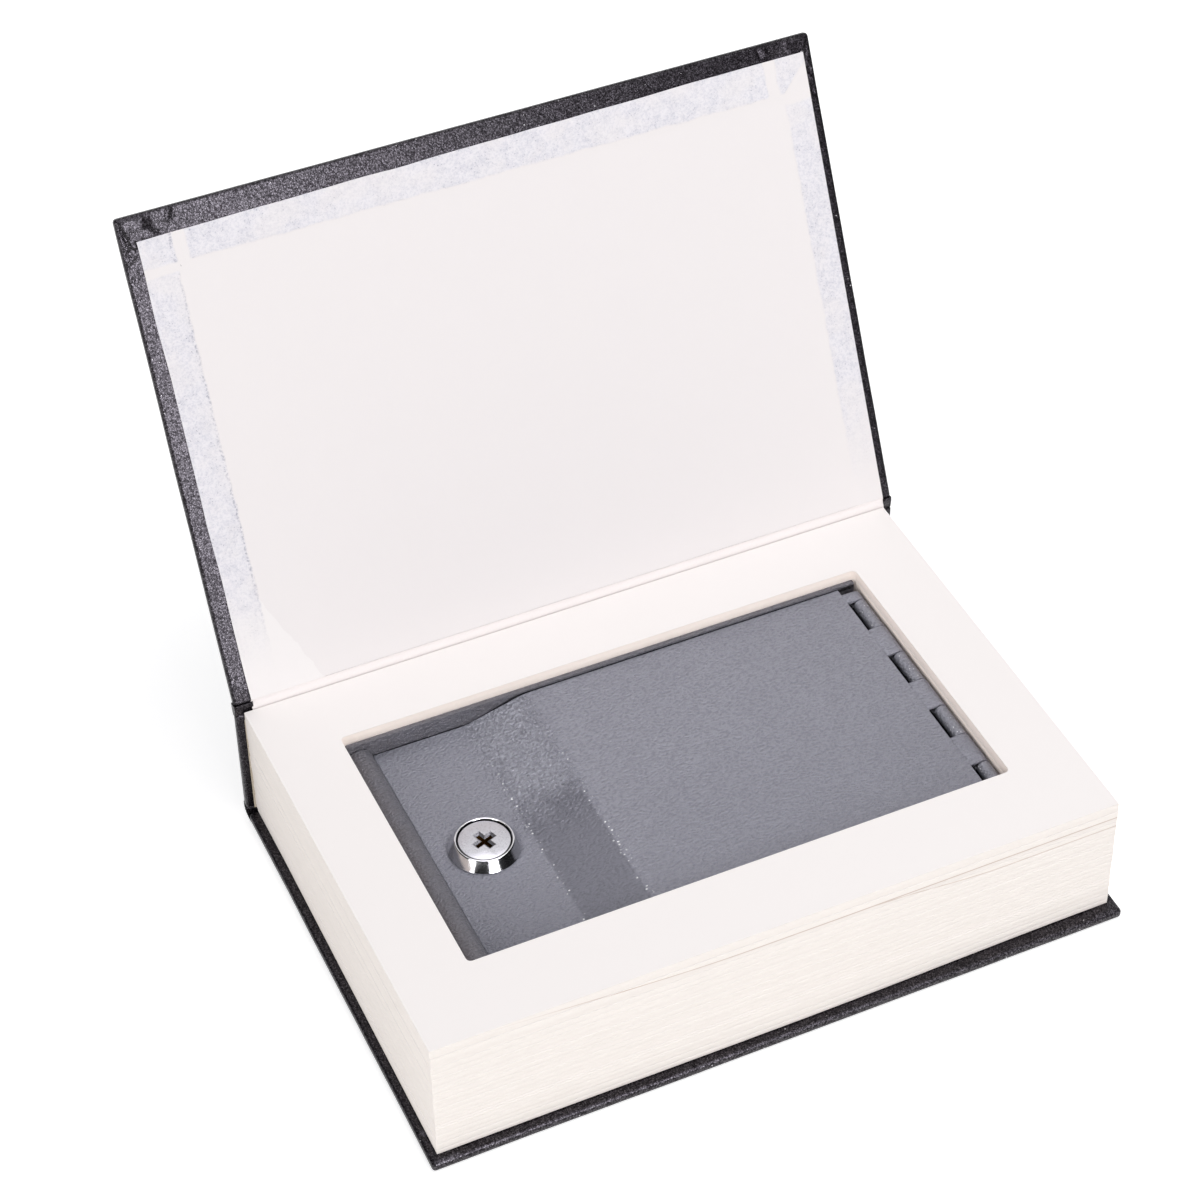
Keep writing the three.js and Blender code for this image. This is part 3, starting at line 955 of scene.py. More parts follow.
@dataclass(frozen=True)
class PageEdge:
    """The trimmed edges of several hundred leaves, lying level."""

    face: Colour = tone(248, 243, 241)
    cream: Colour = tone(246, 239, 233)
    line: Colour = tone(237, 229, 222)
    # painted shade in the gaps where the upper leaves part
    parting_shade: Colour = tone(196, 172, 158)
    # painted light: a lighter, warmer tone for the window's walls, against the shade inside the window
    inner: Colour = tone(255, 243, 234)
    leaf: float = 0.00022
    leaf_rough: float = 0.75
    lines: Span = (0.50, 0.78)
    line_force: float = 0.55
    window_soft: float = 0.001
    fore_soft: float = 0.0004
    bundle: Clouds = Clouds(grain=0.0016, rough=0.6, low=0.55, high=0.75, end=0.45)
    scuff: Clouds = Clouds(grain=0.009, low=0.25, high=0.75, start=0.45)
    broken: Clouds = Clouds(grain=0.004, low=0.3, high=0.6, start=0.55)
    sway: float = 0.0004
    sway_stretch: tuple[float, float, float] = (0.02, 0.02, 0.02)
    sway_grain: float = 0.001
    stretch: tuple[float, float, float] = (0.012, 0.012, 1.0)
    depth: float = 0.00012
    level: Span = (0.55, 0.9)
    window: Span = (0.0912, 0.0514)
    window_middle: float = 0.0015
    fore: float = -0.0760
    upper_parting: tuple[float, float, float] = (-0.113, -0.010, 0.0056)
    upper_force: float = 0.85
    lower_parting: tuple[float, float, float] = (0.025, 0.075, 0.0036)
    lower_force: float = 0.60
    parting: Span = (0.00008, 0.00030)

    def material(self) -> bpy.types.Material:
        """Make the finish.

        Returns:
            The finished material.
        """
        paint = Palette("page_edges")
        where = paint.place()
        layered = paint.place(self.stretch)
        leaves = paint.noise(layered, self.leaf, rough=self.leaf_rough)
        lines = leaves.between(*self.lines, 0.0, self.line_force) + paint.clouds(layered, self.bundle)
        lines = lines * paint.clouds(where, self.scuff)
        x, y, z = paint.split(where)
        half_x, half_y = self.window
        # painted light: the window's walls take the lighter inner tone
        in_window = abs(x).fading(half_x, half_x + self.window_soft)
        off_middle = abs(y - self.window_middle)
        in_window = in_window * off_middle.fading(half_y, half_y + self.window_soft)
        edge = paint.mix(lines, paint.mix(in_window, self.cream, self.inner), self.line)
        sway = paint.noise(paint.place(self.sway_stretch), self.sway_grain, 1.0) * self.sway
        upper = self._parting(x, self.upper_parting) + sway
        lower = self._parting(x, self.lower_parting) + upper
        below = PAGE_TOP - z
        # painted shade: thin dark lines in the gaps where the upper leaves part
        drawn = (abs(below - upper).fading(*self.parting) * self.upper_force).most(
            abs(below - lower).fading(*self.parting) * self.lower_force
        )
        drawn = drawn * paint.clouds(layered, self.broken)
        edge = paint.mix(drawn * y.fading(self.fore, self.fore + self.fore_soft), edge, self.parting_shade)
        upward = abs(paint.split(paint.facing())[2])
        paint.feed("Base Color", paint.mix(upward.between(*self.level), edge, self.face))
        paint.feed("Normal", paint.bump(leaves * upward.fading(*self.level), self.depth))
        paint.set(Roughness=0.88, Specular_IOR_Level=0.2)
        return paint.material

    def _parting(self, x: Pattern, course: tuple[float, float, float]) -> Pattern:
        """Give how far a parting lies below the top, from its start, its end and its depth there."""
        start, end, depth = course
        return x.between(start, end, 0.0, depth)


@dataclass(frozen=True)
class WrinklePaint:
    """Grey baked paint with a fine wrinkle, with painted shade in the wrinkle's hollows."""

    base: Colour = tone(151, 151, 162)
    # the deep colour paints shade in the wrinkle's hollows and also darkens random clouds
    deep: Colour = tone(133, 133, 144)
    # the white of the knuckles' painted glints and of the lid's specks at its bends, painted as highlights
    # where the paint is cracked
    fleck_and_glint: Colour = tone(252, 252, 254)
    wrinkle: float = 0.00082
    stretch: tuple[float, float, float] = (0.75, 1.15, 1.0)
    fine: float = 0.4
    fine_height: float = 0.30
    cloud: Clouds = Clouds(grain=0.02, detail=2.0, low=0.35, high=0.65, end=0.12)
    depth: float = 0.00090
    hollow: Span = (0.30, 0.60)
    roughness: Span = (0.40, 0.28)

    def material(self, name: str) -> bpy.types.Material:
        """Make the finish.

        Args:
            name: The material's name.

        Returns:
            The finished material.
        """
        paint = Palette(name)
        where = paint.place()
        peel = paint.noise(paint.place(self.stretch), self.wrinkle, 2.0)
        height = peel + paint.noise(where, self.wrinkle * self.fine, 2.0) * self.fine_height
        # painted shade: the wrinkle's hollows take the deeper colour
        base = paint.mix(peel.between(*self.hollow), self.deep, self.base)
        base = paint.mix(paint.clouds(where, self.cloud), base, self.deep)
        base, normal = self._worked(paint, peel, height, base)
        paint.feed("Base Color", base)
        paint.feed("Normal", normal)
        paint.feed("Roughness", peel.between(*NOISE_SPREAD, *self.roughness))
        paint.set(Metallic=0.0, Specular_IOR_Level=0.45)
        return paint.material

    def _worked(self, paint: Palette, peel: Pattern, height: Pattern, base: Pattern) -> Layers:
        """Add what is special to one piece.

        Args:
            paint: The material.
            peel: The coarse wrinkle; not used here.
            height: The whole wrinkle.
            base: The colour so far.

        Returns:
            The colour and the normal.
        """
        return base, paint.bump(height, self.depth)


@dataclass(frozen=True)
class BoxPaint(WrinklePaint):
    """The box's paint, darker than the same paint on the lid and the knuckles as painted shade for the
    box's shaded walls, with painted shade in a thin line along the back wall where the lid's edge runs.
    """

    # painted shade: darker than the lid's and the knuckles' paint, as the box's walls and catch lie in
    # shade
    base: Colour = tone(115, 115, 124)
    deep: Colour = tone(86, 86, 95)
    brown: Colour = tone(104, 101, 106)
    # painted shade of the gap between the lid's edge and the back wall
    gap_shade: Colour = tone(30, 30, 33)
    depth: float = 0.00070
    slope: Span = (-0.0500, -0.0295)
    drop: float = 0.0055
    line: Span = (0.0012, 0.0018)
    gap_shade_top: Span = (-0.0001, 0.0001)
    wall: Span = (0.0492, 0.0496)
    patch: float = 0.006

    def _worked(self, paint: Palette, peel: Pattern, height: Pattern, base: Pattern) -> Layers:
        """Brown the paint in patches and draw the painted shade of the gap in a thin line below the lid's
        edge.

        Args:
            paint: The material.
            peel: The coarse wrinkle; not used here.
            height: The whole wrinkle.
            base: The colour so far.

        Returns:
            The colour and the normal.
        """
        where = paint.place()
        base = paint.mix(paint.noise(where, self.patch), self.brown, base)
        along, across, up = paint.split(where)
        below = along.between(*self.slope, LID_TOP - self.drop, LID_TOP) - up
        # painted shade: a thin dark line on the back wall just below the lid's edge
        line = below.fading(*self.line) * below.between(*self.gap_shade_top) * across.between(*self.wall)
        return paint.mix(line, base, self.gap_shade), paint.bump(height, self.depth)


@dataclass(frozen=True)
class KnucklePaint(WrinklePaint):
    """The paint of the knuckles, as light as the lid's, with bright dots painted as glints."""

    base: Colour = tone(150, 150, 160)
    deep: Colour = tone(134, 134, 144)
    # painted glints: bright dots scattered over the knuckles
    glint_spacing: float = 0.0010
    size: Span = (0.14, 0.24)
    share: Span = (0.66, 0.68)

    def _worked(self, paint: Palette, peel: Pattern, height: Pattern, base: Pattern) -> Layers:
        """Add the painted glints.

        Args:
            paint: The material.
            peel: The coarse wrinkle; not used here.
            height: The whole wrinkle.
            base: The colour so far.

        Returns:
            The colour and the normal.
        """
        off, chosen, _ = paint.cells(paint.place(), self.glint_spacing)
        dot = off.fading(*self.size) * chosen.between(*self.share)
        return paint.mix(dot, base, self.fleck_and_glint), paint.bump(height, self.depth)


@dataclass(frozen=True)
class LidPaint(WrinklePaint):
    """The lid's paint: smooth, with painted shade, where the sheet is drawn into a slope; painted light on
    the slope's rear, painted shade on the lid's front, and highlights painted on the cracks at the bends.
    """

    slope_shade_reach: Reach = (-0.0002, 0.0010, -0.0010, 0.0002)
    rear_reach: Reach = (-0.004, 0.006, -0.006, 0.003)
    rough_reach: Reach = (-0.006, 0.003, -0.003, 0.004)
    # painted shade: the slope's colour, darker because the slope faces away from the key light
    slope: Colour = tone(117, 117, 127)
    slope_deep: Colour = tone(105, 105, 115)
    # painted light that lifts the slope's rear part
    rear: Colour = tone(172, 172, 183)
    # painted shade on the lid's front part
    shaded: Colour = tone(124, 124, 135)
    low: float = -0.0500
    high: float = -0.0295
    ragged: float = 0.020
    ragged_grain: float = 0.006
    smooth_end: Span = (0.006, 0.026)
    smooth_height: float = 0.50
    rear_share: float = 0.75
    shade: float = 0.50
    shade_along: float = 0.62
    shade_reach: Span = (-0.047, 0.015)
    shade_soft: float = 0.002
    blister: float = 0.00100
    blister_rise: Span = (0.38, 0.62)
    blister_depth: float = 0.00026
    blister_start: Span = (-0.018, 0.008)
    valley: tuple[float, float, float] = (0.38, 0.54, 0.42)
    bead: float = 0.00105
    bead_stretch: tuple[float, float, float] = (0.8, 1.0, 1.0)
    bead_size: Span = (0.10, 0.34)
    bead_edge: Span = (-0.06, 0.03)
    bead_share: Span = (0.22, 0.28)
    bead_reach: Span = (0.0003, 0.0011)
    bead_front: Span = (0.010, 0.040)
    bead_rear: float = 0.12
    low_bend: float = 0.0006
    high_bend: float = 0.0002
    high_width: float = 0.72
    bare: Clouds = Clouds(grain=0.006, detail=2.0, low=0.38, high=0.46)

    def _worked(self, paint: Palette, peel: Pattern, height: Pattern, base: Pattern) -> Layers:
        """Smooth the slope's front part, paint shade on it, on the lid's front and in the blisters'
        hollows, paint light on the slope's rear part and blister it, and paint highlights on the cracks at
        both bends.

        Args:
            paint: The material.
            peel: The coarse wrinkle.
            height: The whole wrinkle.
            base: The colour so far.

        Returns:
            The colour and the normal.
        """
        where = paint.place()
        along, across, _ = paint.split(where)
        ragged = paint.noise(where, self.ragged_grain) * self.ragged
        smooth_part = (across + ragged).fading(*self.smooth_end)
        # painted shade on the slope's smooth front part, and painted light on its rear part
        smooth_painted_shade = self._on_slope(along, *self.slope_shade_reach) * smooth_part
        painted_light_rear = self._on_slope(along, *self.rear_reach)
        painted_light_rear = painted_light_rear * smooth_part.between(0.0, 1.0, self.rear_share, 0.0)
        # painted shade on the lid's front part
        front = across.between(*self.shade_reach, self.shade, 0.0)
        front = front * along.between(self.low - self.shade_soft, self.high, 1.0, self.shade_along)
        base = paint.mix(front, base, self.shaded)
        # the slope's painted shade colour, darker still in the wrinkle's hollows
        drawn = paint.mix(peel.between(*self.hollow), self.slope_deep, self.slope)
        base = paint.mix(smooth_painted_shade, paint.mix(painted_light_rear, base, self.rear), drawn)
        normal = paint.bump(height * (1.0 - smooth_painted_shade * self.smooth_height), self.depth)
        blister = paint.noise(where, self.blister, 2.0)
        rough_part = self._on_slope(along, *self.rough_reach)
        rough_part = rough_part * across.between(*self.blister_start)
        risen = blister.between(*self.blister_rise) * rough_part
        normal = paint.bump(risen, self.blister_depth, normal)
        # painted shade: the blisters' hollows take the slope's darker colour
        base = paint.mix(blister.between(*self.valley, 0.0) * rough_part, base, self.slope)
        # painted highlights: white specks along both bends, where the paint is cracked
        return paint.mix(self._beads(paint, along, across), base, self.fleck_and_glint), normal

    def _on_slope(self, along: Pattern, start: float, full: float, ebb: float, end: float) -> Pattern:
        """Rise beside the slope's low end and fall beside its high end, at the distances given.

        Args:
            along: The place along the box.
            start: Where it begins to rise, from the low end.
            full: Where it has risen.
            ebb: Where it begins to fall, from the high end.
            end: Where it has fallen.

        Returns:
            The part, from 0 to 1.
        """
        return along.between(self.low + start, self.low + full) * along.fading(
            self.high + ebb, self.high + end
        )

    def _beads(self, paint: Palette, along: Pattern, across: Pattern) -> Pattern:
        """Scatter bright specks along both bends, painted as highlights where the paint has cracked off.

        Args:
            paint: The material.
            along: The place along X.
            across: The place along Y.

        Returns:
            The specks' share.
        """
        at_low = abs(along - (self.low + self.low_bend))
        at_high = abs(along - (self.high + self.high_bend))
        close = at_low.least(at_high * self.high_width).fading(*self.bead_reach)
        off, chosen, large = paint.cells(paint.place(self.bead_stretch), self.bead)
        bead = (off - large.between(0.0, 1.0, *self.bead_size)).fading(*self.bead_edge)
        front = across.between(*self.bead_front, 1.0, self.bead_rear)
        cracked = chosen.between(*self.bead_share) * paint.clouds(paint.place(), self.bare) * front
        return close * bead * cracked


@dataclass(frozen=True)
class Plating:
    """Bare or plated metal with fine working marks."""

    metal: Metal
    colour: Colour
    rough: float
    marks: float = 0.0006
    marks_depth: float = 0.000006
    cloud: float = 0.003
    dulled: float = 0.86
    marks_stretch: tuple[float, float, float] = (1.0, 1.0, 6.0)
    marks_layers: float = 4.0
    marks_rough: float = 0.7
    spread: Span = (0.8, 1.25)

    def material(self) -> bpy.types.Material:
        """Make the finish.

        Returns:
            The finished material.
        """
        paint = Palette(f"{self.metal.value}_metal")
        where = paint.place(self.marks_stretch)
        marks = paint.noise(where, self.marks, self.marks_layers, self.marks_rough)
        darker = tuple(channel * self.dulled for channel in self.colour[:3]) + (1.0,)
        paint.feed("Base Color", paint.mix(paint.noise(paint.place(), self.cloud), self.colour, darker))
        least, most = (self.rough * share for share in self.spread)
        paint.feed("Roughness", marks.between(*NOISE_SPREAD, least, most))
        paint.feed("Normal", paint.bump(marks, self.marks_depth))
        paint.set(Metallic=1.0)
        return paint.material


@dataclass(frozen=True)
class Pasteboard:
    """Grey board, lining paper or foam: a dull body with fibres in it."""

    name: str
    first: Colour
    second: Colour
    grain: float
    layers: float = 5.0
    rough: float = 0.7
    spread: Span = (0.35, 0.65)
    depth: float = 0.00008

    def material(self) -> bpy.types.Material:
        """Make the finish.

        Returns:
            The finished material.
        """
        paint = Palette(self.name)
        fibre = paint.noise(paint.place(), self.grain, self.layers, self.rough)
        paint.feed("Base Color", paint.mix(fibre.between(*self.spread), self.first, self.second))
        paint.feed("Normal", paint.bump(fibre, self.depth))
        paint.set(Roughness=0.92, Specular_IOR_Level=0.2)
        return paint.material


LEATHERETTE = Leatherette().material()
ENDPAPER = Endpaper().material()
WHITE_PAPER = PlainPaper("white_paper", tone(250, 246, 245), tone(246, 241, 240)).material()
FOLD_PAPER = PlainPaper("folded_paper", tone(242, 236, 235), tone(235, 227, 226)).material()
PAGES = PageEdge().material()
BOX_PAINT = BoxPaint().material("box_paint")
KNUCKLE_PAINT = KnucklePaint().material("knuckle_paint")
CHROME = Plating(Metal.CHROME, tone(226, 226, 229), 0.10).material()
SATIN = Plating(Metal.SATIN_CHROME, tone(205, 204, 209), 0.30).material()
ZINC = Plating(Metal.ZINC, tone(188, 188, 184), 0.34).material()
BRASS = Plating(Metal.BRASS, tone(196, 160, 92), 0.26).material()
# painted shade for the inside of the lock housing's bore
BORE_SHADE = Plating(Metal.BORE_SHADE, tone(48, 47, 50), 0.45).material()
BOARD = Pasteboard("grey_board", tone(166, 158, 146), tone(142, 134, 122), 0.0008).material()
LINING = Pasteboard("lining_paper", tone(206, 196, 180), tone(188, 176, 158), 0.0010).material()
FOAM = Pasteboard("foam_pad", tone(228, 226, 220), tone(206, 204, 198), 0.0006).material()


@dataclass(frozen=True)
class Crease:
    """One crease in the folded covering at a corner.

    Its corners are distances from the cover's end and from its fore edge. It rises, or sinks where
    its height is below 0.
    """

    line: tuple[Span, ...]
    height: float
    width: float

    def rise(self, place: Vector) -> float:
        """Say how high the crease stands at a place in the corner.

        Args:
            place: The place.

        Returns:
            The height.
        """
        best = 1.0
        for start, end in zip(self.line, self.line[1:]):
            first, way = Vector(start), Vector(end) - Vector(start)
            share = min(1.0, max(0.0, (place - first).dot(way) / way.length_squared))
            best = min(best, (place - first - way * share).length)
        return self.height * math.exp(-((best / self.width) ** 2))


CREASES = (
    Crease(((0.0087, 0.0015), (0.0065, 0.0036), (0.0050, 0.0060)), 0.00034, 0.00034),
    Crease(((0.0087, 0.0034), (0.0063, 0.0059)), 0.00026, 0.00034),
    Crease(((0.0075, 0.0024), (0.0056, 0.0049)), -0.00022, 0.00040),
    Crease(((0.0026, 0.0016), (0.0064, 0.0015)), 0.00022, 0.00034),
    Crease(((0.0191, 0.0006), (0.0180, 0.0038)), -0.00030, 0.00045),
    Crease(((0.0172, 0.0008), (0.0160, 0.0040)), 0.00018, 0.00060),
    Crease(((0.0095, 0.0044), (0.0155, 0.0054)), -0.00026, 0.00110),
    Crease(((0.0038, 0.0106), (0.0002, 0.0124)), -0.00040, 0.00050),
    Crease(((0.0038, 0.0086), (0.0008, 0.0100)), 0.00028, 0.00060),
    Crease(((0.0036, 0.0128), (0.0010, 0.0145)), 0.00022, 0.00055),
    Crease(((0.0018, 0.0190), (0.0004, 0.0207)), -0.00028, 0.00045),
)


@dataclass
class CoverSkin:
    """Covering folded round one board of the book case.

    It is drawn with its fore edge towards -Y. The border on its inner side is turned in. Its corner
    at the lock end is creased, and the other one lies neater.
    """

    name: str
    low: Point
    high: Point
    inner_up: bool
    borders: tuple[float, float, float] = (0.0170, 0.0122, 0.0174)
    crumple: Span = (1.0, 0.45)
    skin: float = 0.00035
    corner: float = 0.0012
    edge: float = 0.0009
    step: float = 0.010
    sway: float = 0.00030
    sway_wave: float = 40.0
    sway_layer: float = 90.0
    sway_reach: float = 0.004
    grain: float = 0.00012
    grain_wave: float = 380.0
    grain_layer: float = 3.1
    lap: float = 0.00042
    lap_rise: Span = (-0.00015, 0.00020)
    lap_fall: Span = (0.0105, 0.0060)
    lap_depth: float = 0.00022
    lap_hollow: float = 0.0005
    fade_in: Span = (0.0002, 0.0012)
    fade_out: float = 0.002
    patch: Span = (0.0215, 0.0215)
    cell: float = 0.00045
    paper: Span = (0.0050, 0.0076)
    paper_right: Span = (0.0028, 0.0052)
    flat: float = 0.00014
    deepest: float = 0.00030
    highest: float = 0.00072
    clear: float = 0.00038
    clear_end: Span = (0.0026, 0.0038)
    clear_fore: Span = (0.0040, 0.0058)
    tuck: float = 0.0006
    mitre: tuple[Span, ...] = ((0.0, 0.0), (0.0006, 0.0011), (0.0025, 0.0053), (0.0038, 0.0103))

    def build(self) -> Model:
        """Shape the covering.

        Returns:
            The piece, still where it was drawn.
        """
        low, high = Vector(self.low), Vector(self.high)
        inner = high.z if self.inner_up else low.z
        side = 1.0 if self.inner_up else -1.0
        left, right = low.x + self.borders[0], high.x - self.borders[1]
        fore, joint = low.y + self.borders[2], high.y - self.edge
        piece = Model.block(self.name, low, high)
        piece.bevel(lambda middle, way: abs(way.z) > ALONG, self.corner, 4)
        piece.bevel(lambda middle, way: abs(way.z) < ACROSS, self.edge, 3)
        count = round(self.patch[0] / self.cell)
        fine = [self.edge + self.cell * i for i in range(1, count)]
        piece.slice(0, [low.x + x for x in fine] + [high.x - x for x in fine] + [left, right])
        count = round(self.patch[1] / self.cell)
        piece.slice(1, [low.y + self.edge + self.cell * i for i in range(1, count)] + [fore])
        wide = int((high.x - low.x - 2 * self.patch[0]) / self.step)
        deep = int((high.y - low.y - self.patch[1]) / self.step)
        piece.slice(0, [low.x + self.patch[0] + self.step * (i + 1) for i in range(wide)])
        piece.slice(1, [low.y + self.patch[1] + self.step * (i + 1) for i in range(deep)])
        piece.remove(
            lambda middle, normal: normal.z * side > ALONG
            and abs(middle.z - inner) < NEAR
            and left < middle.x < right
            and fore < middle.y < joint
        )
        piece.mould(lambda place: self._worn(place, low, high, inner, side))
        piece.modify("SOLIDIFY", thickness=self.skin, offset=-1.0)
        return piece.smooth(CLOTH_CREASE)

    def _worn(self, place: Vector, low: Vector, high: Vector, inner: float, side: float) -> Vector:
        """Fold the corners and make the edges a little uneven.

        Args:
            place: A corner of the mesh.
            low: The cover's lowest corner.
            high: The cover's highest corner.
            inner: The height of its inner side.
            side: 1 where the inner side faces up, otherwise -1.

        Returns:
            The corner's new place.
        """
        at_left = place.x - low.x < high.x - place.x
        from_end = min(place.x - low.x, high.x - place.x)
        from_fore = place.y - low.y
        on_inner = abs(place.z - inner) < NEAR
        swing = ripple(place, self.sway_wave, low.z * self.sway_layer) * 0.5 + 0.5
        pull = self.sway * swing * smooth_step(self.sway_reach, 0.0, min(from_end, from_fore))
        if from_fore < self.sway_reach:
            place.y += pull
        if from_end < self.sway_reach:
            place.x += pull if at_left else -pull
        if on_inner and from_end < self.patch[0] and from_fore < self.patch[1]:
            spot = Vector((from_end, from_fore))
            fade = smooth_step(*self.fade_in, min(from_end, from_fore) - self.edge * 0.5)
            for limit, distance in zip(self.patch, spot):
                fade *= smooth_step(limit, limit - self.fade_out, distance)
            force = self.crumple[0] if at_left else self.crumple[1]
            rise = sum(crease.rise(spot) for crease in CREASES) + self._lapped(spot)
            rise += ripple(place, self.grain_wave, self.grain_layer) * self.grain
            rise *= fade * force
            over = smooth_step(*self.clear_end, from_end) * smooth_step(*self.clear_fore, from_fore)
            top = self.highest + (self.clear - self.highest) * over
            rise = min(top, max(-self.deepest, rise))
            covered = self.paper if at_left else self.paper_right
            bare = smooth_step(self.tuck, 0.0, min(from_end - covered[0], from_fore - covered[1]))
            place.z += side * (rise * bare + min(self.flat, max(-self.flat, rise)) * (1.0 - bare))
        return place

    def _lapped(self, spot: Vector) -> float:
        """Say how high the folded layer lies over the other one at a place in the corner.

        Args:
            spot: The place.

        Returns:
            The height.
        """
        for start, end in zip(self.mitre, self.mitre[1:]):
            if spot.y <= end[1]:
                share = (spot.y - start[1]) / (end[1] - start[1])
                off = spot.x - start[0] - share * (end[0] - start[0])
                up = smooth_step(*self.lap_rise, off) * smooth_step(*self.lap_fall, off)
                hollow = math.exp(-((off / self.lap_hollow + 1.0) ** 2))
                return self.lap * up - self.lap_depth * hollow
        return 0.0


@dataclass
class BookCase:
    """The covers, the spine and the two joints, in leatherette, with their endpapers."""

    half: float = 0.1175
    reach: float = 0.1594
    joint: float = 0.0014
    cover_start: float = 0.0005
    front_low: float = -0.0008
    front_high: float = 0.0022
    short_end: float = 0.0010
    inside: float = 0.0004
    paper_left: float = -0.1108
    paper_right: float = 0.1143
    paper_fore: float = 0.1512
    paper_low: float = -0.00110
    paper: float = 0.00015
    skin: float = 0.00035
    sink: float = 0.00028
    turned_in: float = 0.015
    roll: float = 0.0008
    bulge: float = 0.0001
    end_bulge: float = 0.0001
    roll_widths: Span = (0.0060, 0.0028)
    roll_back: float = 0.0006
    outer_guide: Span = (0.0002, 0.0014)
    joint_inset: Span = (0.0001, 0.0003)
    inner_start: Span = (-0.0023, -0.0002)
    inner_rise: float = 0.0010
    inner_end: float = 0.0002
    fold_foot: Span = (0.07625, 0.0452)
    fold_rise: float = 0.0014
    fold_top: Span = (0.0008, 0.0005)
    fold_guide: Span = (-0.0004, -0.0015)
    fold_cell: float = 0.003
    back_reach: float = 0.0010
    back_guides: Span = (0.0006, 0.0008)
    spine_top: float = 0.0449
    back_short: float = 0.0012
    back_skew: float = 0.0008
    paper_slant: float = 0.0025
    slant_start: float = 0.110
    border_left: Span = (-0.0998, -0.1012)
    border_right: Span = (0.1046, 0.1060)
    border_fore: Span = (0.1412, 0.1426)
    cockle: float = 0.00006
    cockle_wave: float = 45.0
    paper_grid: tuple[int, int] = (150, 100)
    lift: float = 0.00020
    lift_corner: Span = (-0.1027, -0.0361)
    lift_way: Span = (0.897, -0.441)
    lift_ends: Span = (-0.042, -0.033)
    lift_soft: float = 0.0004
    trim: float = 0.0003
    trim_slant: float = 0.0004
    trim_wave: float = 60.0
    trim_end: float = 0.15
    board_corner: float = 0.0014
    board_edge: float = 0.0003
    edge: float = 0.0009
    cell: float = 0.004
    flap_cell: float = 0.0005
    flap_ripple: float = 0.00025
    flap_wave: float = 350.0
    bends: int = 14
    few_bends: int = 12

    def opened(self) -> Matrix:
        """Give the turn that takes the front cover from shut to where the photograph has it."""
        return Matrix.Translation(COVER_HINGE) @ Matrix.Rotation(-COVER_OPEN, 4, "X")

    def on_cover(self, along: float, outward: float) -> Vector:
        """Give a place on the open cover by its distances from the hinge line."""
        return self.opened() @ Vector((0.0, -along, outward))

    def front_cover(self) -> None:
        """Make the front cover's covering, its board and the endpaper inside it."""
        low = Vector((-self.half + self.short_end, -self.reach, self.front_low))
        high = Vector((self.half, -self.cover_start, self.front_high))
        skin = CoverSkin("front_cover_leatherette", low, high, inner_up=False, crumple=(1.7, 0.6)).build()
        skin.stand(self.opened()).dress(LEATHERETTE, "leatherette", "front_cover_wrap").ride("front_cover")
        high.y = -self.joint
        board = self._board("front_board", low, high)
        board.stand(self.opened()).dress(BOARD, "board", "front_cover_board").ride("front_cover")
        paper = Model.sheet(
            "front_endpaper",
            (self.paper_left, -self.paper_fore, self.paper_low),
            (self.paper_right, -self.joint, self.paper_low),
            *self.paper_grid,
        )
        paper.mould(self._glued).remember().modify("SOLIDIFY", thickness=self.paper, offset=1.0)
        paper.smooth(CLOTH_CREASE).stand(self.opened())
        paper.dress(ENDPAPER, "endpaper", "front_pastedown").ride("front_cover")

    def _board(self, name: str, low: Vector, high: Vector) -> Model:
        """Make the board inside a covering.

        Args:
            name: The board's name.
            low: The covering's lowest corner.
            high: The covering's highest corner.

        Returns:
            The board.
        """
        margin = Vector((self.inside, self.inside, self.inside))
        board = Model.block(name, low + margin, high - margin)
        board.bevel(lambda middle, way: abs(way.z) > ALONG, self.board_corner, 4)
        return board.ease(self.board_edge)

    def _glued(self, place: Vector) -> Vector:
        """Let the endpaper sink off the turned-in borders on to the board.

        Args:
            place: The corner's place.

        Returns:
            Its new place.
        """
        along = (place.x - self.paper_left) / (self.paper_right - self.paper_left)
        at_fore = abs(place.y + self.paper_fore) < NEAR
        place.y -= self.paper_slant * along * smooth_step(self.slant_start, self.paper_fore, -place.y)
        left = smooth_step(*self.border_left, place.x)
        right = smooth_step(*self.border_right, place.x)
        fore = smooth_step(*self.border_fore, -place.y)
        low_spot = (1.0 - max(left, right, fore)) * self.sink
        cockle = ripple(place, self.cockle_wave, 7.0) * self.cockle
        fold_line = (place.xy - Vector(self.lift_corner)).dot(Vector(self.lift_way))
        lifted = smooth_step(self.lift_soft, -self.lift_soft, fold_line) * smooth_step(
            *self.lift_ends, place.y
        )
        trimmed = ripple(place, self.trim_wave, 1.0) * self.trim
        if at_fore:
            place.y += trimmed
        if abs(place.x - self.paper_left) < NEAR:
            place.x += trimmed - self.trim_slant * smooth_step(0.0, self.trim_end, -place.y)
        place.z += low_spot + cockle - lifted * self.lift
        return place

    def back_cover(self) -> None:
        """Make the back cover's covering and its board, both a little askew at the lock end."""
        low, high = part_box("back_cover_wrap")
        high.x -= self.back_short
        skin = CoverSkin(
            "back_cover_leatherette", low, high, inner_up=True, crumple=(0.8, 0.6), paper=(0.0028, 0.0054)
        ).build()
        board = self._board("back_board", low, high)

        def askew(place: Vector) -> Vector:
            """Push the lock end in, the more so the nearer it is to the spine.

            Args:
                place: The corner's place.

            Returns:
                Its new place.
            """
            share = (place.y - low.y) / (high.y - low.y)
            place.x += self.back_skew * share * smooth_step(0.0, -self.half * 0.8, place.x)
            return place

        skin.mould(askew)
        board.mould(askew)
        skin.dress(LEATHERETTE, "leatherette", "back_cover_wrap").ride("root")
        board.dress(BOARD, "board", "back_cover_board").ride("root")

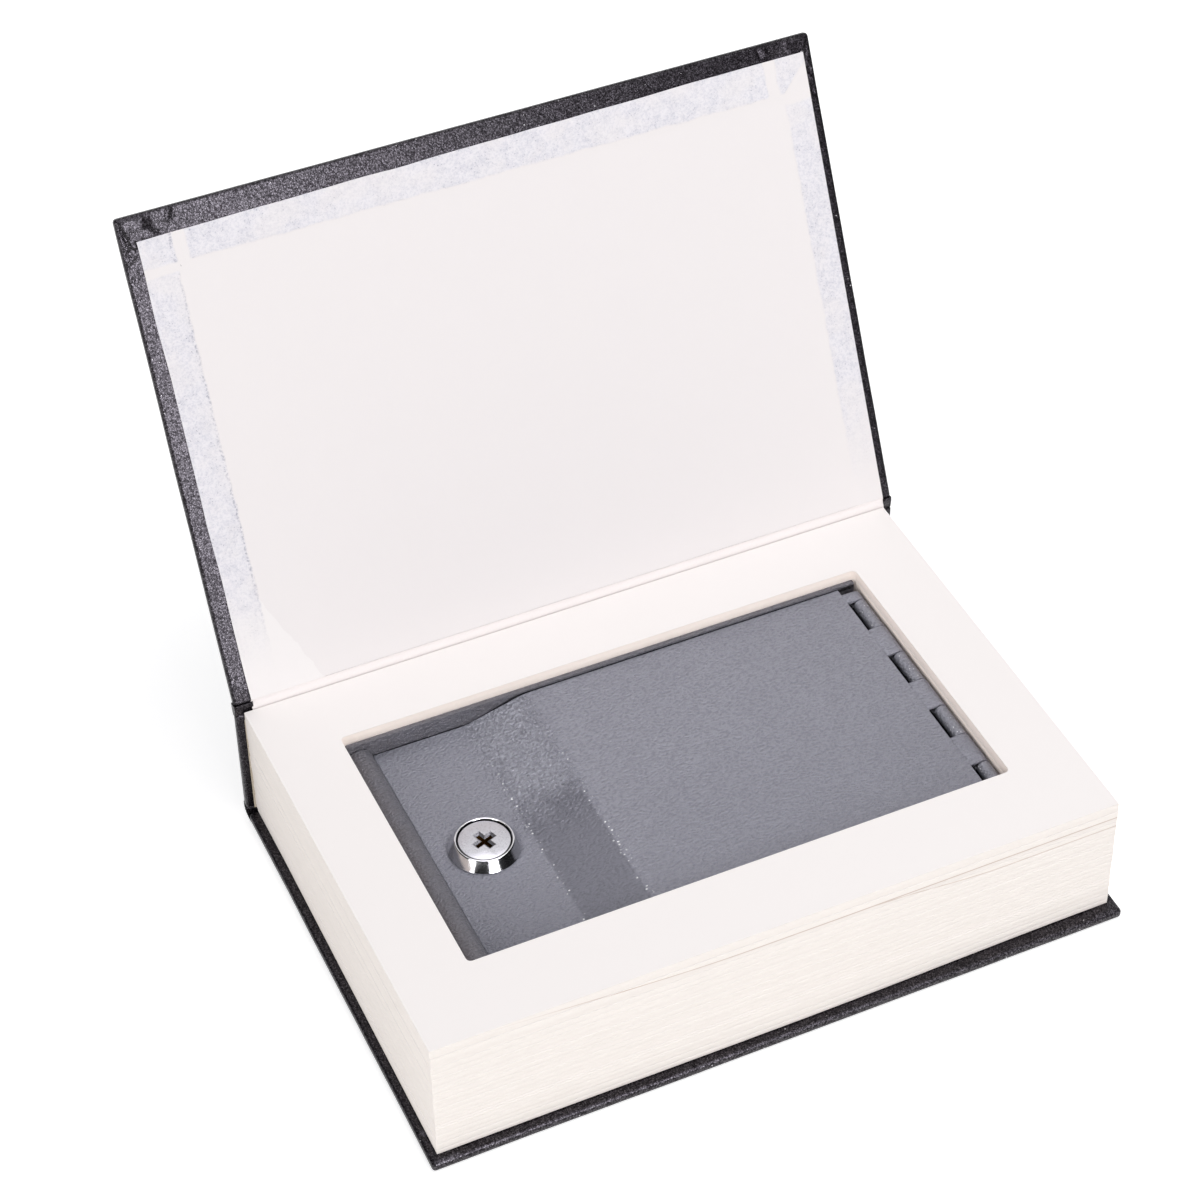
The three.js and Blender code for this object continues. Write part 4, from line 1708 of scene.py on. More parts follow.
    def spine(self) -> None:
        """Make the board of the spine and its covering, turned in at its two ends."""
        low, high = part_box("spine_wrap")
        low.x += self.short_end
        high.z = self.spine_top
        board = self._board("spine_core", low, high)
        board.dress(BOARD, "board", "spine_board").ride("root")
        piece = Model.block("spine_leatherette", low, high)
        piece.bevel(lambda middle, way: True, self.edge, 3)
        piece.slice(0, (low.x + self.turned_in, high.x - self.turned_in))
        piece.remove(
            lambda middle, normal: normal.y < -ALONG and abs(middle.x) < self.half - self.turned_in
        )
        piece.modify("SOLIDIFY", thickness=self.skin, offset=-1.0).smooth(SPINE_CREASE)
        piece.dress(LEATHERETTE, "leatherette", "spine_wrap").ride("root")

    def _strip(self, name: str, path: Sequence[Vector], ends: Span, step: float) -> Model:
        """Lay a sheet along a path seen from the side.

        Args:
            name: The piece's name.
            path: The sheet's line in Y and Z.
            ends: Where it starts and ends along X.
            step: The length of one cell along X.

        Returns:
            The sheet, without thickness.
        """
        columns = max(2, round(abs(ends[1] - ends[0]) / step))
        rows = len(path) - 1
        piece = Model.sheet(name, (ends[0], 0.0, 0.0), (ends[1], 1.0, 0.0), columns, rows)

        def laid(place: Vector) -> Vector:
            """Move a corner to its place on the path."""
            spot = path[min(rows, max(0, round(place.y * rows)))]
            return Vector((place.x, spot.y, spot.z))

        return piece.mould(laid)

    @staticmethod
    def _side(y: float, z: float) -> Vector:
        """Give a place or a move in the view from the lock's end."""
        return Vector((0.0, y, z))

    @staticmethod
    def _curve(start: Vector, guide: Vector, guide_end: Vector, end: Vector, bends: int) -> list[Vector]:
        """Bend a line between two places.

        Args:
            start: Where it starts.
            guide: The place that it sets out towards.
            guide_end: The place that it comes in from.
            end: Where it ends.
            bends: The number of its parts.

        Returns:
            The points of the line.
        """
        line = []
        for i in range(bends + 1):
            t = i / bends
            s = 1.0 - t
            line.append(start * s**3 + guide * 3 * s * s * t + guide_end * 3 * s * t * t + end * t**3)
        return line

    def front_joint(self) -> None:
        """Make the covering that bends between the spine and the open cover."""
        middle = self.skin / 2
        spine = self._side(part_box("spine_wrap")[1].y, self.spine_top)
        start = spine + self._side(-middle, -self.edge)
        end = self.on_cover(self.cover_start + self.edge, self.front_high - middle)
        lift = self.on_cover(self.cover_start - self.roll_back, self.front_high + self.roll)
        outer = self._curve(start, start + self._side(*self.outer_guide), lift, end, self.bends)
        ends = (-self.half + self.short_end + self.joint_inset[0], self.half - self.joint_inset[1])
        skin = self._strip("front_joint_leatherette", outer, ends, self.cell)
        skin.modify("SOLIDIFY", thickness=self.skin, offset=0.0)
        inner_start = spine + self._side(*self.inner_start)
        inner = self._curve(
            inner_start,
            inner_start + self._side(-self.bulge, self.inner_rise),
            self.on_cover(self.cover_start - self.inner_rise, self.front_low - self.bulge),
            self.on_cover(self.cover_start + self.inner_end, self.front_low - middle),
            self.bends,
        )
        flaps = []
        for side, width, outside in zip((-1.0, 1.0), self.roll_widths, ends):
            flap = self._strip(f"flap_{side:g}", inner, (outside, outside - side * width), self.flap_cell)
            flap.mould(lambda place: place + UP * self.flap_ripple * noise.noise(place * self.flap_wave))
            end_fold = Model.sheet(f"end_{side:g}", (0.0, 0.0, 0.0), (1.0, 1.0, 0.0), 6, self.bends)

            def folded(place: Vector, side: float = side, outside: float = outside) -> Vector:
                """Bend the end of the covering round from its outer to its inner layer.

                Args:
                    place: The corner's place.
                    side: The side of the end, -1 or 1.
                    outside: The end's place along the spine.

                Returns:
                    Its new place.
                """
                row = min(self.bends, max(0, round(place.y * self.bends)))
                turn = place.x * math.pi
                spot = outer[row].lerp(inner[row], 0.5 - 0.5 * math.cos(turn))
                spot.x = outside + side * self.end_bulge * math.sin(turn)
                return spot

            end_fold.mould(folded)
            for piece in (flap, end_fold):
                flaps.append(piece.modify("SOLIDIFY", thickness=self.skin, offset=0.0))
        skin.join(flaps).smooth(CLOTH_CREASE)
        skin.dress(LEATHERETTE, "leatherette", "front_joint")
        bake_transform(skin.solid)

    def endpaper_fold(self) -> None:
        """Make the fold of white paper between the pages and the cover."""
        bottom = self._side(*self.fold_foot)
        top = self.on_cover(self.joint, self.paper_low + self.paper / 2)
        crease = self.on_cover(self.joint - self.fold_top[0], self.paper_low + self.fold_top[1])
        guides = (bottom + UP * self.fold_rise, crease + self._side(*self.fold_guide))
        line = self._curve(bottom, *guides, crease, self.few_bends)
        ends = (self.paper_left, self.paper_right)
        piece = self._strip("endpaper_fold", line + [top], ends, self.fold_cell)
        piece.modify("SOLIDIFY", thickness=self.paper, offset=0.0).smooth(LEAF_CREASE)
        piece.dress(FOLD_PAPER, "endpaper", "endpaper_hinge")
        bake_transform(piece.solid)

    def back_joint(self) -> None:
        """Make the covering that bends under the spine."""
        back_low, back_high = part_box("back_cover_wrap")
        spine_low, spine_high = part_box("spine_wrap")
        start = self._side(back_high.y - self.back_reach, back_low.z + self.skin / 2)
        end = self._side(spine_high.y - self.skin / 2, spine_low.z + self.back_reach)
        level, upright = self.back_guides
        guides = (self._side(end.y - level, start.z), self._side(end.y, start.z + upright))
        line = self._curve(start, *guides, end, self.few_bends)
        ends = (-self.half + self.short_end, self.half - self.back_short)
        piece = self._strip("back_joint_leatherette", line, ends, self.cell)
        piece.modify("SOLIDIFY", thickness=self.skin, offset=0.0).smooth(CLOTH_CREASE)
        piece.dress(LEATHERETTE, "leatherette", "back_joint").ride("root")

    def build(self) -> None:
        """Make the whole case."""
        self.front_cover()
        self.back_cover()
        self.spine()
        self.front_joint()
        self.endpaper_fold()
        self.back_joint()


@dataclass
class PageBlock:
    """Several hundred leaves in bundles, cut out round the steel box."""

    low: Vector = field(default_factory=lambda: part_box("base_pages")[0])
    high: Vector = field(default_factory=lambda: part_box("top_flyleaf")[1])
    window_low: Span = (-0.0907, -0.0494)
    window_high: Span = (0.0907, 0.0524)
    window_corner: float = 0.0016
    thinnest: float = 0.0010
    thickest: float = 0.0023
    last_share: float = 1.4
    seed_reach: float = 50.0
    parting: float = 0.00004
    wide_parting: float = 0.00012
    shuffle: float = 0.00013
    column: float = 0.008
    column_gap: float = 0.003
    wave: float = 18.0
    edge: float = 0.00006
    upper_leaves: float = 0.0042
    pressed: Span = (0.0004, 0.0036)
    spread_left: Span = (-0.0005, 0.0008)
    spread_right: float = -0.0007
    spread_fore: Span = (0.0015, 0.0029)
    press: Span = (0.0002, 0.0005)

    def bundle(self, name: str, bottom: float, top: float, window: bool, draw: random.Random) -> Model:
        """Make one bundle of leaves.

        Args:
            name: The piece's name.
            bottom: The height of its lowest leaf.
            top: The height of its highest leaf.
            window: Whether it is cut out round the box.
            draw: The source of its small unevenness.

        Returns:
            The bundle.
        """
        low, high = self.low, self.high
        piece = Model.block(name, (low.x, low.y, bottom), (high.x, high.y, top))
        (left, front), (right, back) = self.window_low, self.window_high

        def inside(middle: Vector) -> bool:
            """Tell whether a place is in the window or on its walls."""
            return left - NEAR < middle.x < right + NEAR and front - NEAR < middle.y < back + NEAR

        if window:
            piece.slice(0, (left, right))
            piece.slice(1, (front, back))
            piece.remove(lambda middle, normal: left < middle.x < right and front < middle.y < back)
            piece.bridge(lambda middle, way: inside(middle) and abs(way.z) < 0.5)
            piece.bevel(lambda middle, way: abs(way.z) > ALONG and inside(middle), self.window_corner, 4)
        columns = []
        x = low.x + self.column
        while x < high.x - self.column / 2:
            if min(abs(x - left), abs(x - right)) > self.column_gap:
                columns.append(x)
            x += self.column
        piece.slice(0, columns)
        seed = Vector([draw.random() * self.seed_reach for _ in range(3)])
        fore = draw.uniform(0.0, self.shuffle)
        ends = draw.uniform(0.0, self.shuffle)

        def settled(place: Vector) -> Vector:
            """Push each trimmed edge in a little, by the same amount over a stretch.

            Args:
                place: The corner's place.

            Returns:
                Its new place.
            """
            wave = noise.noise(Vector((place.x * self.wave, place.y * self.wave, 0.0)) + seed) * 0.5 + 0.5
            deep = (high.z - place.z) / (high.z - low.z)
            forward = smooth_step(high.y, low.y, place.y)
            at_fore = abs(place.y - low.y) < NEAR
            if abs(abs(place.x) - high.x) < NEAR:
                wider = self.spread_right
                if place.x < 0.0:
                    wider = self.spread_left[0] + (self.spread_left[1] - self.spread_left[0]) * forward
                place.x -= math.copysign(1.0, place.x) * (ends + wave * self.shuffle - deep * wider)
            if at_fore:
                wider = self.spread_fore[1] - self.spread_fore[0]
                wider = self.spread_fore[0] + wider * smooth_step(high.x, 0.0, place.x)
                place.y += fore + wave * self.shuffle - deep * wider
            middle = ((left + right) / 2, (front + back) / 2)
            reach = ((right - left) / 2 + NEAR, (back - front) / 2 + NEAR)
            if abs(place.x - middle[0]) < reach[0] and abs(place.y - middle[1]) < reach[1]:
                share = smooth_step(*self.pressed, high.z - place.z)
                place.x -= share * self.press[0] * (place.x - middle[0]) / reach[0]
                place.y -= share * self.press[1] * (place.y - middle[1]) / reach[1]
            return place

        return piece.mould(settled)

    def stack(
        self, name: str, bottom: float, top: float, window: bool, seed: int, partings: Sequence[float] = ()
    ) -> Model:
        """Lay bundles on each other.

        Args:
            name: The stack's name.
            bottom: The height of its lowest leaf.
            top: The height of its highest leaf.
            window: Whether it is cut out round the box.
            seed: The seed of its unevenness.
            partings: Heights at which the leaves part.

        Returns:
            The stack.
        """
        draw = random.Random(seed)
        heights = [bottom]
        stops = sorted(partings) + [top]
        for stop in stops:
            while stop - heights[-1] > self.thickest * self.last_share:
                heights.append(heights[-1] + draw.uniform(self.thinnest, self.thickest))
            heights.append(stop)
        bundles = []
        for i, (start, end) in enumerate(zip(heights, heights[1:])):
            gap = self.wide_parting if any(abs(start - p) < 1e-6 for p in partings) else self.parting
            bundles.append(self.bundle(f"{name}_{i}", start + (gap if i else 0.0), end, window, draw))
        return bundles[0].join(bundles[1:]).named(name).ease(self.edge, CLOTH_CREASE).smooth(LEAF_CREASE)

    def build(self) -> None:
        """Make the base, the cut pages, the loose leaves and the flyleaf."""
        base_low, base_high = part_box("base_pages")
        base = self.stack("base_leaves", base_low.z, base_high.z, False, 11)
        base.dress(PAGES, "pages", "base_pages").ride("root")
        cut_low, cut_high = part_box("cut_pages")
        cut = self.stack("cut_leaves", cut_low.z, cut_high.z, True, 12, (cut_high.z - self.upper_leaves,))
        cut.dress(PAGES, "pages", "cut_pages").ride("root")
        top_low, top_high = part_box("top_leaves")
        top = self.stack("loose_leaves", top_low.z, top_high.z, True, 13)
        top.dress(PAGES, "pages", "top_leaves").ride("leaves")
        fly_low, fly_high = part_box("top_flyleaf")
        fly = self.bundle("flyleaf", fly_low.z, fly_high.z, True, random.Random(14))
        fly.smooth(LEAF_CREASE)
        fly.dress(PAGES, "endpaper", "top_flyleaf").ride("leaves")


@dataclass(frozen=True)
class HingeRow:
    """How the lid's tabs and the box's knuckles share the hinge pin."""

    back: float = 0.0473
    front: float = -0.0468
    first_tab: float = 0.0045
    pitch: float = 0.0272
    knuckle: float = 0.0135
    gap: float = 0.0004
    angle: float = 260.0
    steps: int = 24

    def rolled(self, name: str, low: Point, high: Point, axis: int) -> Model:
        """Roll the end of a strip of sheet round the pin.

        Args:
            name: The strip's name.
            low: Its lowest corner.
            high: Its highest corner.
            axis: 0 where it comes from the lid, along X, and 2 where it comes up from the box.

        Returns:
            The strip.
        """
        strip = Model.block(name, low, high)
        angle = math.radians(self.angle if axis == 0 else -self.angle)
        return strip.roll(lambda middle, normal: normal[axis] > ALONG, tuple(LID_PIN), angle, self.steps)

    def knuckles(self) -> list[Span]:
        """Give the stretches of the box's knuckles along Y.

        Returns:
            The stretches, from the back to the front.
        """
        spans = []
        back = self.back - self.first_tab
        while back - self.gap > self.front:
            spans.append((max(back - self.knuckle, self.front), back))
            back -= self.pitch
        return spans

    def tabs(self) -> list[Span]:
        """Give the stretches of the lid's tabs along Y.

        Returns:
            The stretches, from the back to the front.
        """
        spans = []
        back = self.back
        for front, knuckle_back in self.knuckles():
            spans.append((knuckle_back + self.gap, back))
            back = front - self.gap
        return spans


@dataclass
class SteelBox:
    """The painted tray with its rolled catch and rolled knuckles."""

    sheet: float = 0.0010
    floor: float = 0.0080
    rim: float = 0.0432
    wall: float = 0.0369
    corner: float = 0.0006
    middle_reach: float = 0.01
    catch_radius: float = 0.0043
    catch_tail: float = 0.0025
    catch_gap: float = 0.0010
    knuckle_inset: float = 0.0001
    knuckle_reach: float = 0.0040
    overlap: float = 0.0002
    rim_extra: float = 0.00055
    rim_edge: float = 0.0004
    catch_steps: int = 18
    edge: float = 0.00012
    stop_left: float = -0.0758
    stop_right: float = -0.0638
    stop_low: float = 0.0346
    stop_high: float = 0.0356
    stop_depth: float = 0.0030
    hinge: HingeRow = field(default_factory=HingeRow)

    def build(self) -> None:
        """Make the tray, roll its ends and set in the lid's stops."""
        low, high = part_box("steel_box")
        inner_front, inner_back = low.y + self.sheet, high.y - self.sheet
        tray = Model.block("box_tray", (low.x, low.y, self.floor), (high.x, high.y, self.wall))
        tray.inset(lambda middle, normal: normal.z > ALONG, self.sheet)
        tray.extrude(
            lambda middle, normal: normal.z > ALONG
            and max(abs(middle.x), abs(middle.y)) < self.middle_reach,
            (0.0, 0.0, self.floor + self.sheet - self.wall),
        )
        outside = high.x - self.sheet / 2
        tray.bevel(lambda middle, way: abs(way.z) > ALONG and abs(middle.x) > outside, self.corner, 4)
        parts = []
        inset = self.corner
        for name, front, back in (
            ("wall_back", inner_back - self.rim_extra, high.y), ("wall_front", low.y, inner_front)
        ):
            wall = Model.block(
                name, (low.x + inset, front, self.wall - self.overlap), (high.x - inset, back, self.rim)
            )
            wall.bevel(
                lambda middle, way: abs(way.y) > ALONG and middle.z > self.rim - self.corner,
                self.rim_edge,
                3,
            )
            parts.append(wall)
        axis = (low.x + self.catch_radius, 0.0, self.wall)
        catch = Model.block(
            "catch",
            (low.x, inner_front + self.catch_gap, self.wall - 2 * self.overlap),
            (low.x + self.sheet, inner_back - self.catch_gap, self.wall),
        )
        catch.roll(lambda middle, normal: normal.z > ALONG, axis, math.pi, self.catch_steps)
        catch.extrude(
            lambda middle, normal: normal.z < -ALONG and middle.x > axis[0], (0.0, 0.0, -self.catch_tail)
        )
        parts.append(catch)
        right = high.x - self.knuckle_inset
        for i, (start, end) in enumerate(self.hinge.knuckles()):
            low_corner = (right - self.sheet, start, self.wall - self.overlap)
            parts.append(self.hinge.rolled(f"knuckle_{i}", low_corner, (right, end, LID_PIN.z), 2))
        for name, front, back in (
            ("stop_back", inner_back - self.stop_depth, inner_back + self.sheet / 2),
            ("stop_front", inner_front - self.sheet / 2, inner_front + self.stop_depth),
        ):
            parts.append(
                Model.block(
                    name, (self.stop_left, front, self.stop_low), (self.stop_right, back, self.stop_high)
                )
            )
        tray.join(parts)
        tray.ease(self.edge).smooth(STEEL_CREASE).modify("WEIGHTED_NORMAL", keep_sharp=True)
        tray.dress(BOX_PAINT, "grey_paint", "steel_box").ride("root")
        # the knuckles take the lid's lighter paint; the rest of the box keeps the darker box paint, whose
        # darkness is painted shade
        tray.second(
            KNUCKLE_PAINT,
            lambda middle: middle.z > self.wall
            and middle.x > LID_PIN.x - self.knuckle_reach
            and self.hinge.front < middle.y < self.hinge.back,
        )


@dataclass
class StampedLid:
    """The lid: a sheet drawn down at the lock end, with tabs rolled round the hinge pin."""

    sheet: float = 0.0010
    left: float = -0.0812
    slot: float = 0.0833
    front: float = -0.0468
    back: float = 0.0498
    low_end: float = -0.0500
    high_start: float = -0.0295
    drop: float = 0.0055
    bend: float = 0.0022
    hole_radius: float = 0.0095
    hole_depth: float = 0.006
    hole_sides: int = 48
    step_margin: float = 0.001
    end_margin: float = 0.01
    back_margin: float = 0.0004
    back_fade: float = 0.0012
    upward: float = 0.8
    top_share: float = 0.6
    slope_reach: Span = (-0.25, 1.25)
    low_rise: Span = (-0.20, 0.12)
    high_fall: Span = (1.20, 0.95)
    blister_waves: Span = (850.0, 1100.0)
    fine_wave: float = 1500.0
    swell: float = 0.28
    blister: float = 0.00044
    blister_reach: float = 0.0045
    blister_front: float = -0.0180
    blister_fade: float = 0.026
    blister_grid: tuple[int, int] = (6, 14)
    blister_cuts: int = 14
    edge: float = 0.00014
    hinge: HingeRow = field(default_factory=HingeRow)

    def build(self) -> None:
        """Draw the sheet, cut the lock's hole and roll the tabs."""
        _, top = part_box("box_lid")
        lid = Model.block(
            "stepped_lid", (self.left, self.front, top.z - self.sheet), (self.slot, self.back, top.z)
        )
        lid.slice(0, (self.low_end, self.high_start))
        lid.shift(lambda place, normal: place.x < self.low_end + self.step_margin, (0.0, 0.0, -self.drop))
        lid.bevel(
            lambda middle, way: abs(way.y) > ALONG and self.left + self.end_margin < middle.x < 0.0,
            self.bend,
            6,
        )
        start = LOCK_PLACE - UP * (self.hole_depth / 2)
        hole = Model.rod("lock_hole", self.hole_radius, start, self.hole_depth, self.hole_sides)
        lid.cut_away(hole)
        tabs = []
        for i, (start, end) in enumerate(self.hinge.tabs()):
            low = (self.slot, start, top.z - self.sheet)
            tabs.append(self.hinge.rolled(f"tab_{i}", low, (LID_PIN.x, end, top.z), 0))
        lid.join(tabs).ease(self.edge)
        span = self.high_start - self.low_end + 2 * self.blister_reach
        across, along = self.blister_grid
        lid.slice(0, [self.low_end - self.blister_reach + span * i / across for i in range(across + 1)])
        deep = (self.back - self.blister_front) / along
        lid.slice(1, [self.blister_front + deep * i for i in range(along)])
        lid.divide(self._blistered, self.blister_cuts).mould(self._raised).smooth(STEEL_CREASE)
        paint = LidPaint(low=self.low_end, high=self.high_start).material("lid_paint")
        lid.dress(paint, "grey_paint", "box_lid").ride("lid")

    def _blistered(self, middle: Vector, normal: Vector) -> bool:
        """Pick the upper faces of the slope's rear half.

        Args:
            middle: The face's middle.
            normal: Its direction.

        Returns:
            Whether it is one of them.
        """
        return (
            self.low_end - self.blister_reach < middle.x < self.high_start + self.blister_reach
            and self.blister_front < middle.y < self.back - self.back_margin
            and normal.z > self.upward
        )

    def _raised(self, place: Vector) -> Vector:
        """Raise the coarse blisters of the paint on the slope's rear half.

        Args:
            place: The corner's place.

        Returns:
            Its new place.
        """
        slope = (place.x - self.low_end) / (self.high_start - self.low_end)
        surface = LID_TOP - self.drop * (1.0 - min(1.0, max(0.0, slope)))
        first, last = self.slope_reach
        if not first < slope < last or place.z < surface - self.sheet * self.top_share:
            return place
        rear = smooth_step(self.blister_front, self.blister_front + self.blister_fade, place.y)
        rear *= smooth_step(self.back, self.back - self.back_fade, place.y)
        near = smooth_step(*self.low_rise, slope) * smooth_step(*self.high_fall, slope)
        wide, deep = self.blister_waves
        spot = noise.noise(Vector((place.x * wide, place.y * deep, 2.0)))
        spot += 0.5 * ripple(place, self.fine_wave, 5.0)
        place.z += self.blister * rear * near * (smooth_step(-self.swell, self.swell, spot) - 0.5)
        return place


@dataclass
class CamLock:
    """The cross-key cam lock, seen as a bright bevelled rim round the face of its plug."""

    foot: float = 0.0114
    rim: float = 0.0093
    rim_inner: float = 0.00866
    height: float = 0.0038
    barrel: float = 0.0092
    barrel_length: float = 0.0090
    barrel_flat: float = 0.0082
    bore: float = 0.00435
    head: float = 0.0081
    head_top: float = 0.0034
    head_bottom: float = 0.0022
    plug: float = 0.0042
    tail: float = 0.0028
    tail_bottom: float = -0.01115
    keyway_arm: float = 0.0031
    keyway_half: float = 0.00060
    keyway_flare: float = 0.00075
    keyway_depth: float = 0.0100
    keyway_turn: float = 20.0
    sides: int = 128
    slab: float = 0.0110
    slab_top: float = 0.00003
    barrel_edge: float = 0.0004
    foot_edge: tuple[Span, ...] = ((-0.0002, 0.00005), (0.0, 0.00025), (0.0, 0.00050), (-0.00020, 0.00075))
    rim_edge: tuple[Span, ...] = (
        (0.00012, -0.00035), (0.0, -0.00018), (-0.00018, -0.00004), (-0.00034, 0.0)
    )
    inner_edge: tuple[Span, ...] = ((0.00022, 0.0), (0.00008, -0.00006), (0.0, -0.00020))
    head_edge: tuple[Span, ...] = ((0.0, -0.00018), (-0.00006, -0.00006), (-0.00018, 0.0))
    head_gap: float = 0.00015
    bore_shade_top: float = 0.00012
    bore_shade_edge: float = 0.00002
    overcut: float = 0.001
    mouth_reach: float = 1.2
    wall_reach: float = 1.05
    tail_edge: float = 0.0002
    crease: float = 28.0

    def housing(self) -> None:
        """Turn the chrome housing, with painted shade inside its bore."""
        section = [
            (self.bore, -self.barrel_length),
            (self.barrel - self.barrel_edge, -self.barrel_length),
            (self.barrel, -self.barrel_length + self.barrel_edge),
            (self.barrel, self.foot_edge[0][1]),
            *((self.foot + out, up) for out, up in self.foot_edge),
            *((self.rim + out, self.height + up) for out, up in self.rim_edge),
            *((self.rim_inner + out, self.height + up) for out, up in self.inner_edge),
            (self.rim_inner, self.head_bottom - self.head_gap),
            (self.bore, self.head_bottom - self.head_gap),
        ]
        piece = Model.turned("lock_rim", section, LOCK_PLACE, self.sides)
        for side in (-1.0, 1.0):
            near, far = sorted((side * self.barrel_flat, side * self.slab))
            low = LOCK_PLACE + Vector((near, -self.slab, -self.slab))
            high = LOCK_PLACE + Vector((far, self.slab, self.slab_top))
            piece.cut_away(Model.block("flat", low, high))
        piece.smooth(self.crease).dress(CHROME, "chrome", "lock_housing").ride("lid")
        # painted shade: the housing's faces inside the bore, below its top, take the dark metal
        ceiling = LOCK_PLACE.z + self.height - self.bore_shade_top
        reach = self.rim_inner + self.bore_shade_edge
        piece.second(BORE_SHADE, lambda middle: middle.z < ceiling and (middle - LOCK_PLACE).xy.length < reach)

    def _in_keyway(self, place: Vector, share: float) -> bool:
        """Tell whether a place is nearer to the lock's axis than a share of the keyway's arm."""
        return (place - LOCK_PLACE).xy.length < self.keyway_arm * share

    def plug_face(self) -> None:
        """Turn the plug and cut its cross keyway."""
        section = [
            (0.0, -self.barrel_length),
            (self.plug, -self.barrel_length),
            (self.plug, self.head_bottom),
            (self.head, self.head_bottom),
            *((self.head + out, self.head_top + up) for out, up in self.head_edge),
            (0.0, self.head_top),
        ]
        piece = Model.turned("plug_face", section, LOCK_PLACE, self.sides)
        top = self.head_top + self.overcut
        turn = Matrix.Translation(LOCK_PLACE) @ Matrix.Rotation(math.radians(self.keyway_turn), 4, "Z")
        arm, half = self.keyway_arm, self.keyway_half
        for name, wide, deep in (("arm_along", arm, half), ("arm_across", half, arm)):
            cutter = Model.block(name, (-wide, -deep, top - self.keyway_depth), (wide, deep, top))
            piece.cut_away(cutter.stand(turn))
        mouth = LOCK_PLACE.z + self.head_top
        piece.bevel(
            lambda middle, way: abs(middle.z - mouth) < NEAR
            and self._in_keyway(middle, self.mouth_reach)
            and abs(way.z) < ACROSS,
            self.keyway_flare,
            1,
        )
        low = LOCK_PLACE + Vector((-self.tail, -self.tail, self.tail_bottom))
        high = LOCK_PLACE + Vector((self.tail, self.tail, -self.barrel_length))
        tail = Model.block("tail", low, high).ease(self.tail_edge)
        piece.join([tail]).smooth(self.crease).dress(SATIN, "chrome", "lock_plug").ride("plug")
        walls = (mouth - self.keyway_depth, mouth - self.keyway_flare)
        piece.second(
            BRASS,
            lambda middle: walls[0] < middle.z < walls[1] and self._in_keyway(middle, self.wall_reach),
        )

    def build(self) -> None:
        """Make the lock's seen parts."""
        self.housing()
        self.plug_face()


@dataclass
class KeptNodes:
    """Finishes for the nodes whose own shape is right."""

    finishes: tuple[tuple[bpy.types.Material, tuple[str, ...]], ...] = (
        (WHITE_PAPER, ("back_endpaper",)),
        (LINING, ("spine_lining",)),
        (FOAM, ("box_adhesive",)),
        (ZINC, ("hinge_pin", "lock_washer", "lock_nut", "lock_cam", "cam_washer", "cam_screw")),
        (ZINC, tuple(f"pin_spring_{i}" for i in PIN_NUMBERS)),
        (BRASS, tuple(f"key_pin_{i}" for i in PIN_NUMBERS)),
        (BRASS, tuple(f"driver_pin_{i}" for i in PIN_NUMBERS)),
    )

    def build(self) -> None:
        """Put each finish on its nodes."""
        for material, names in self.finishes:
            for name in names:
                node = frame["nodes"][name]
                node.data.materials.clear()
                node.data.materials.append(material)


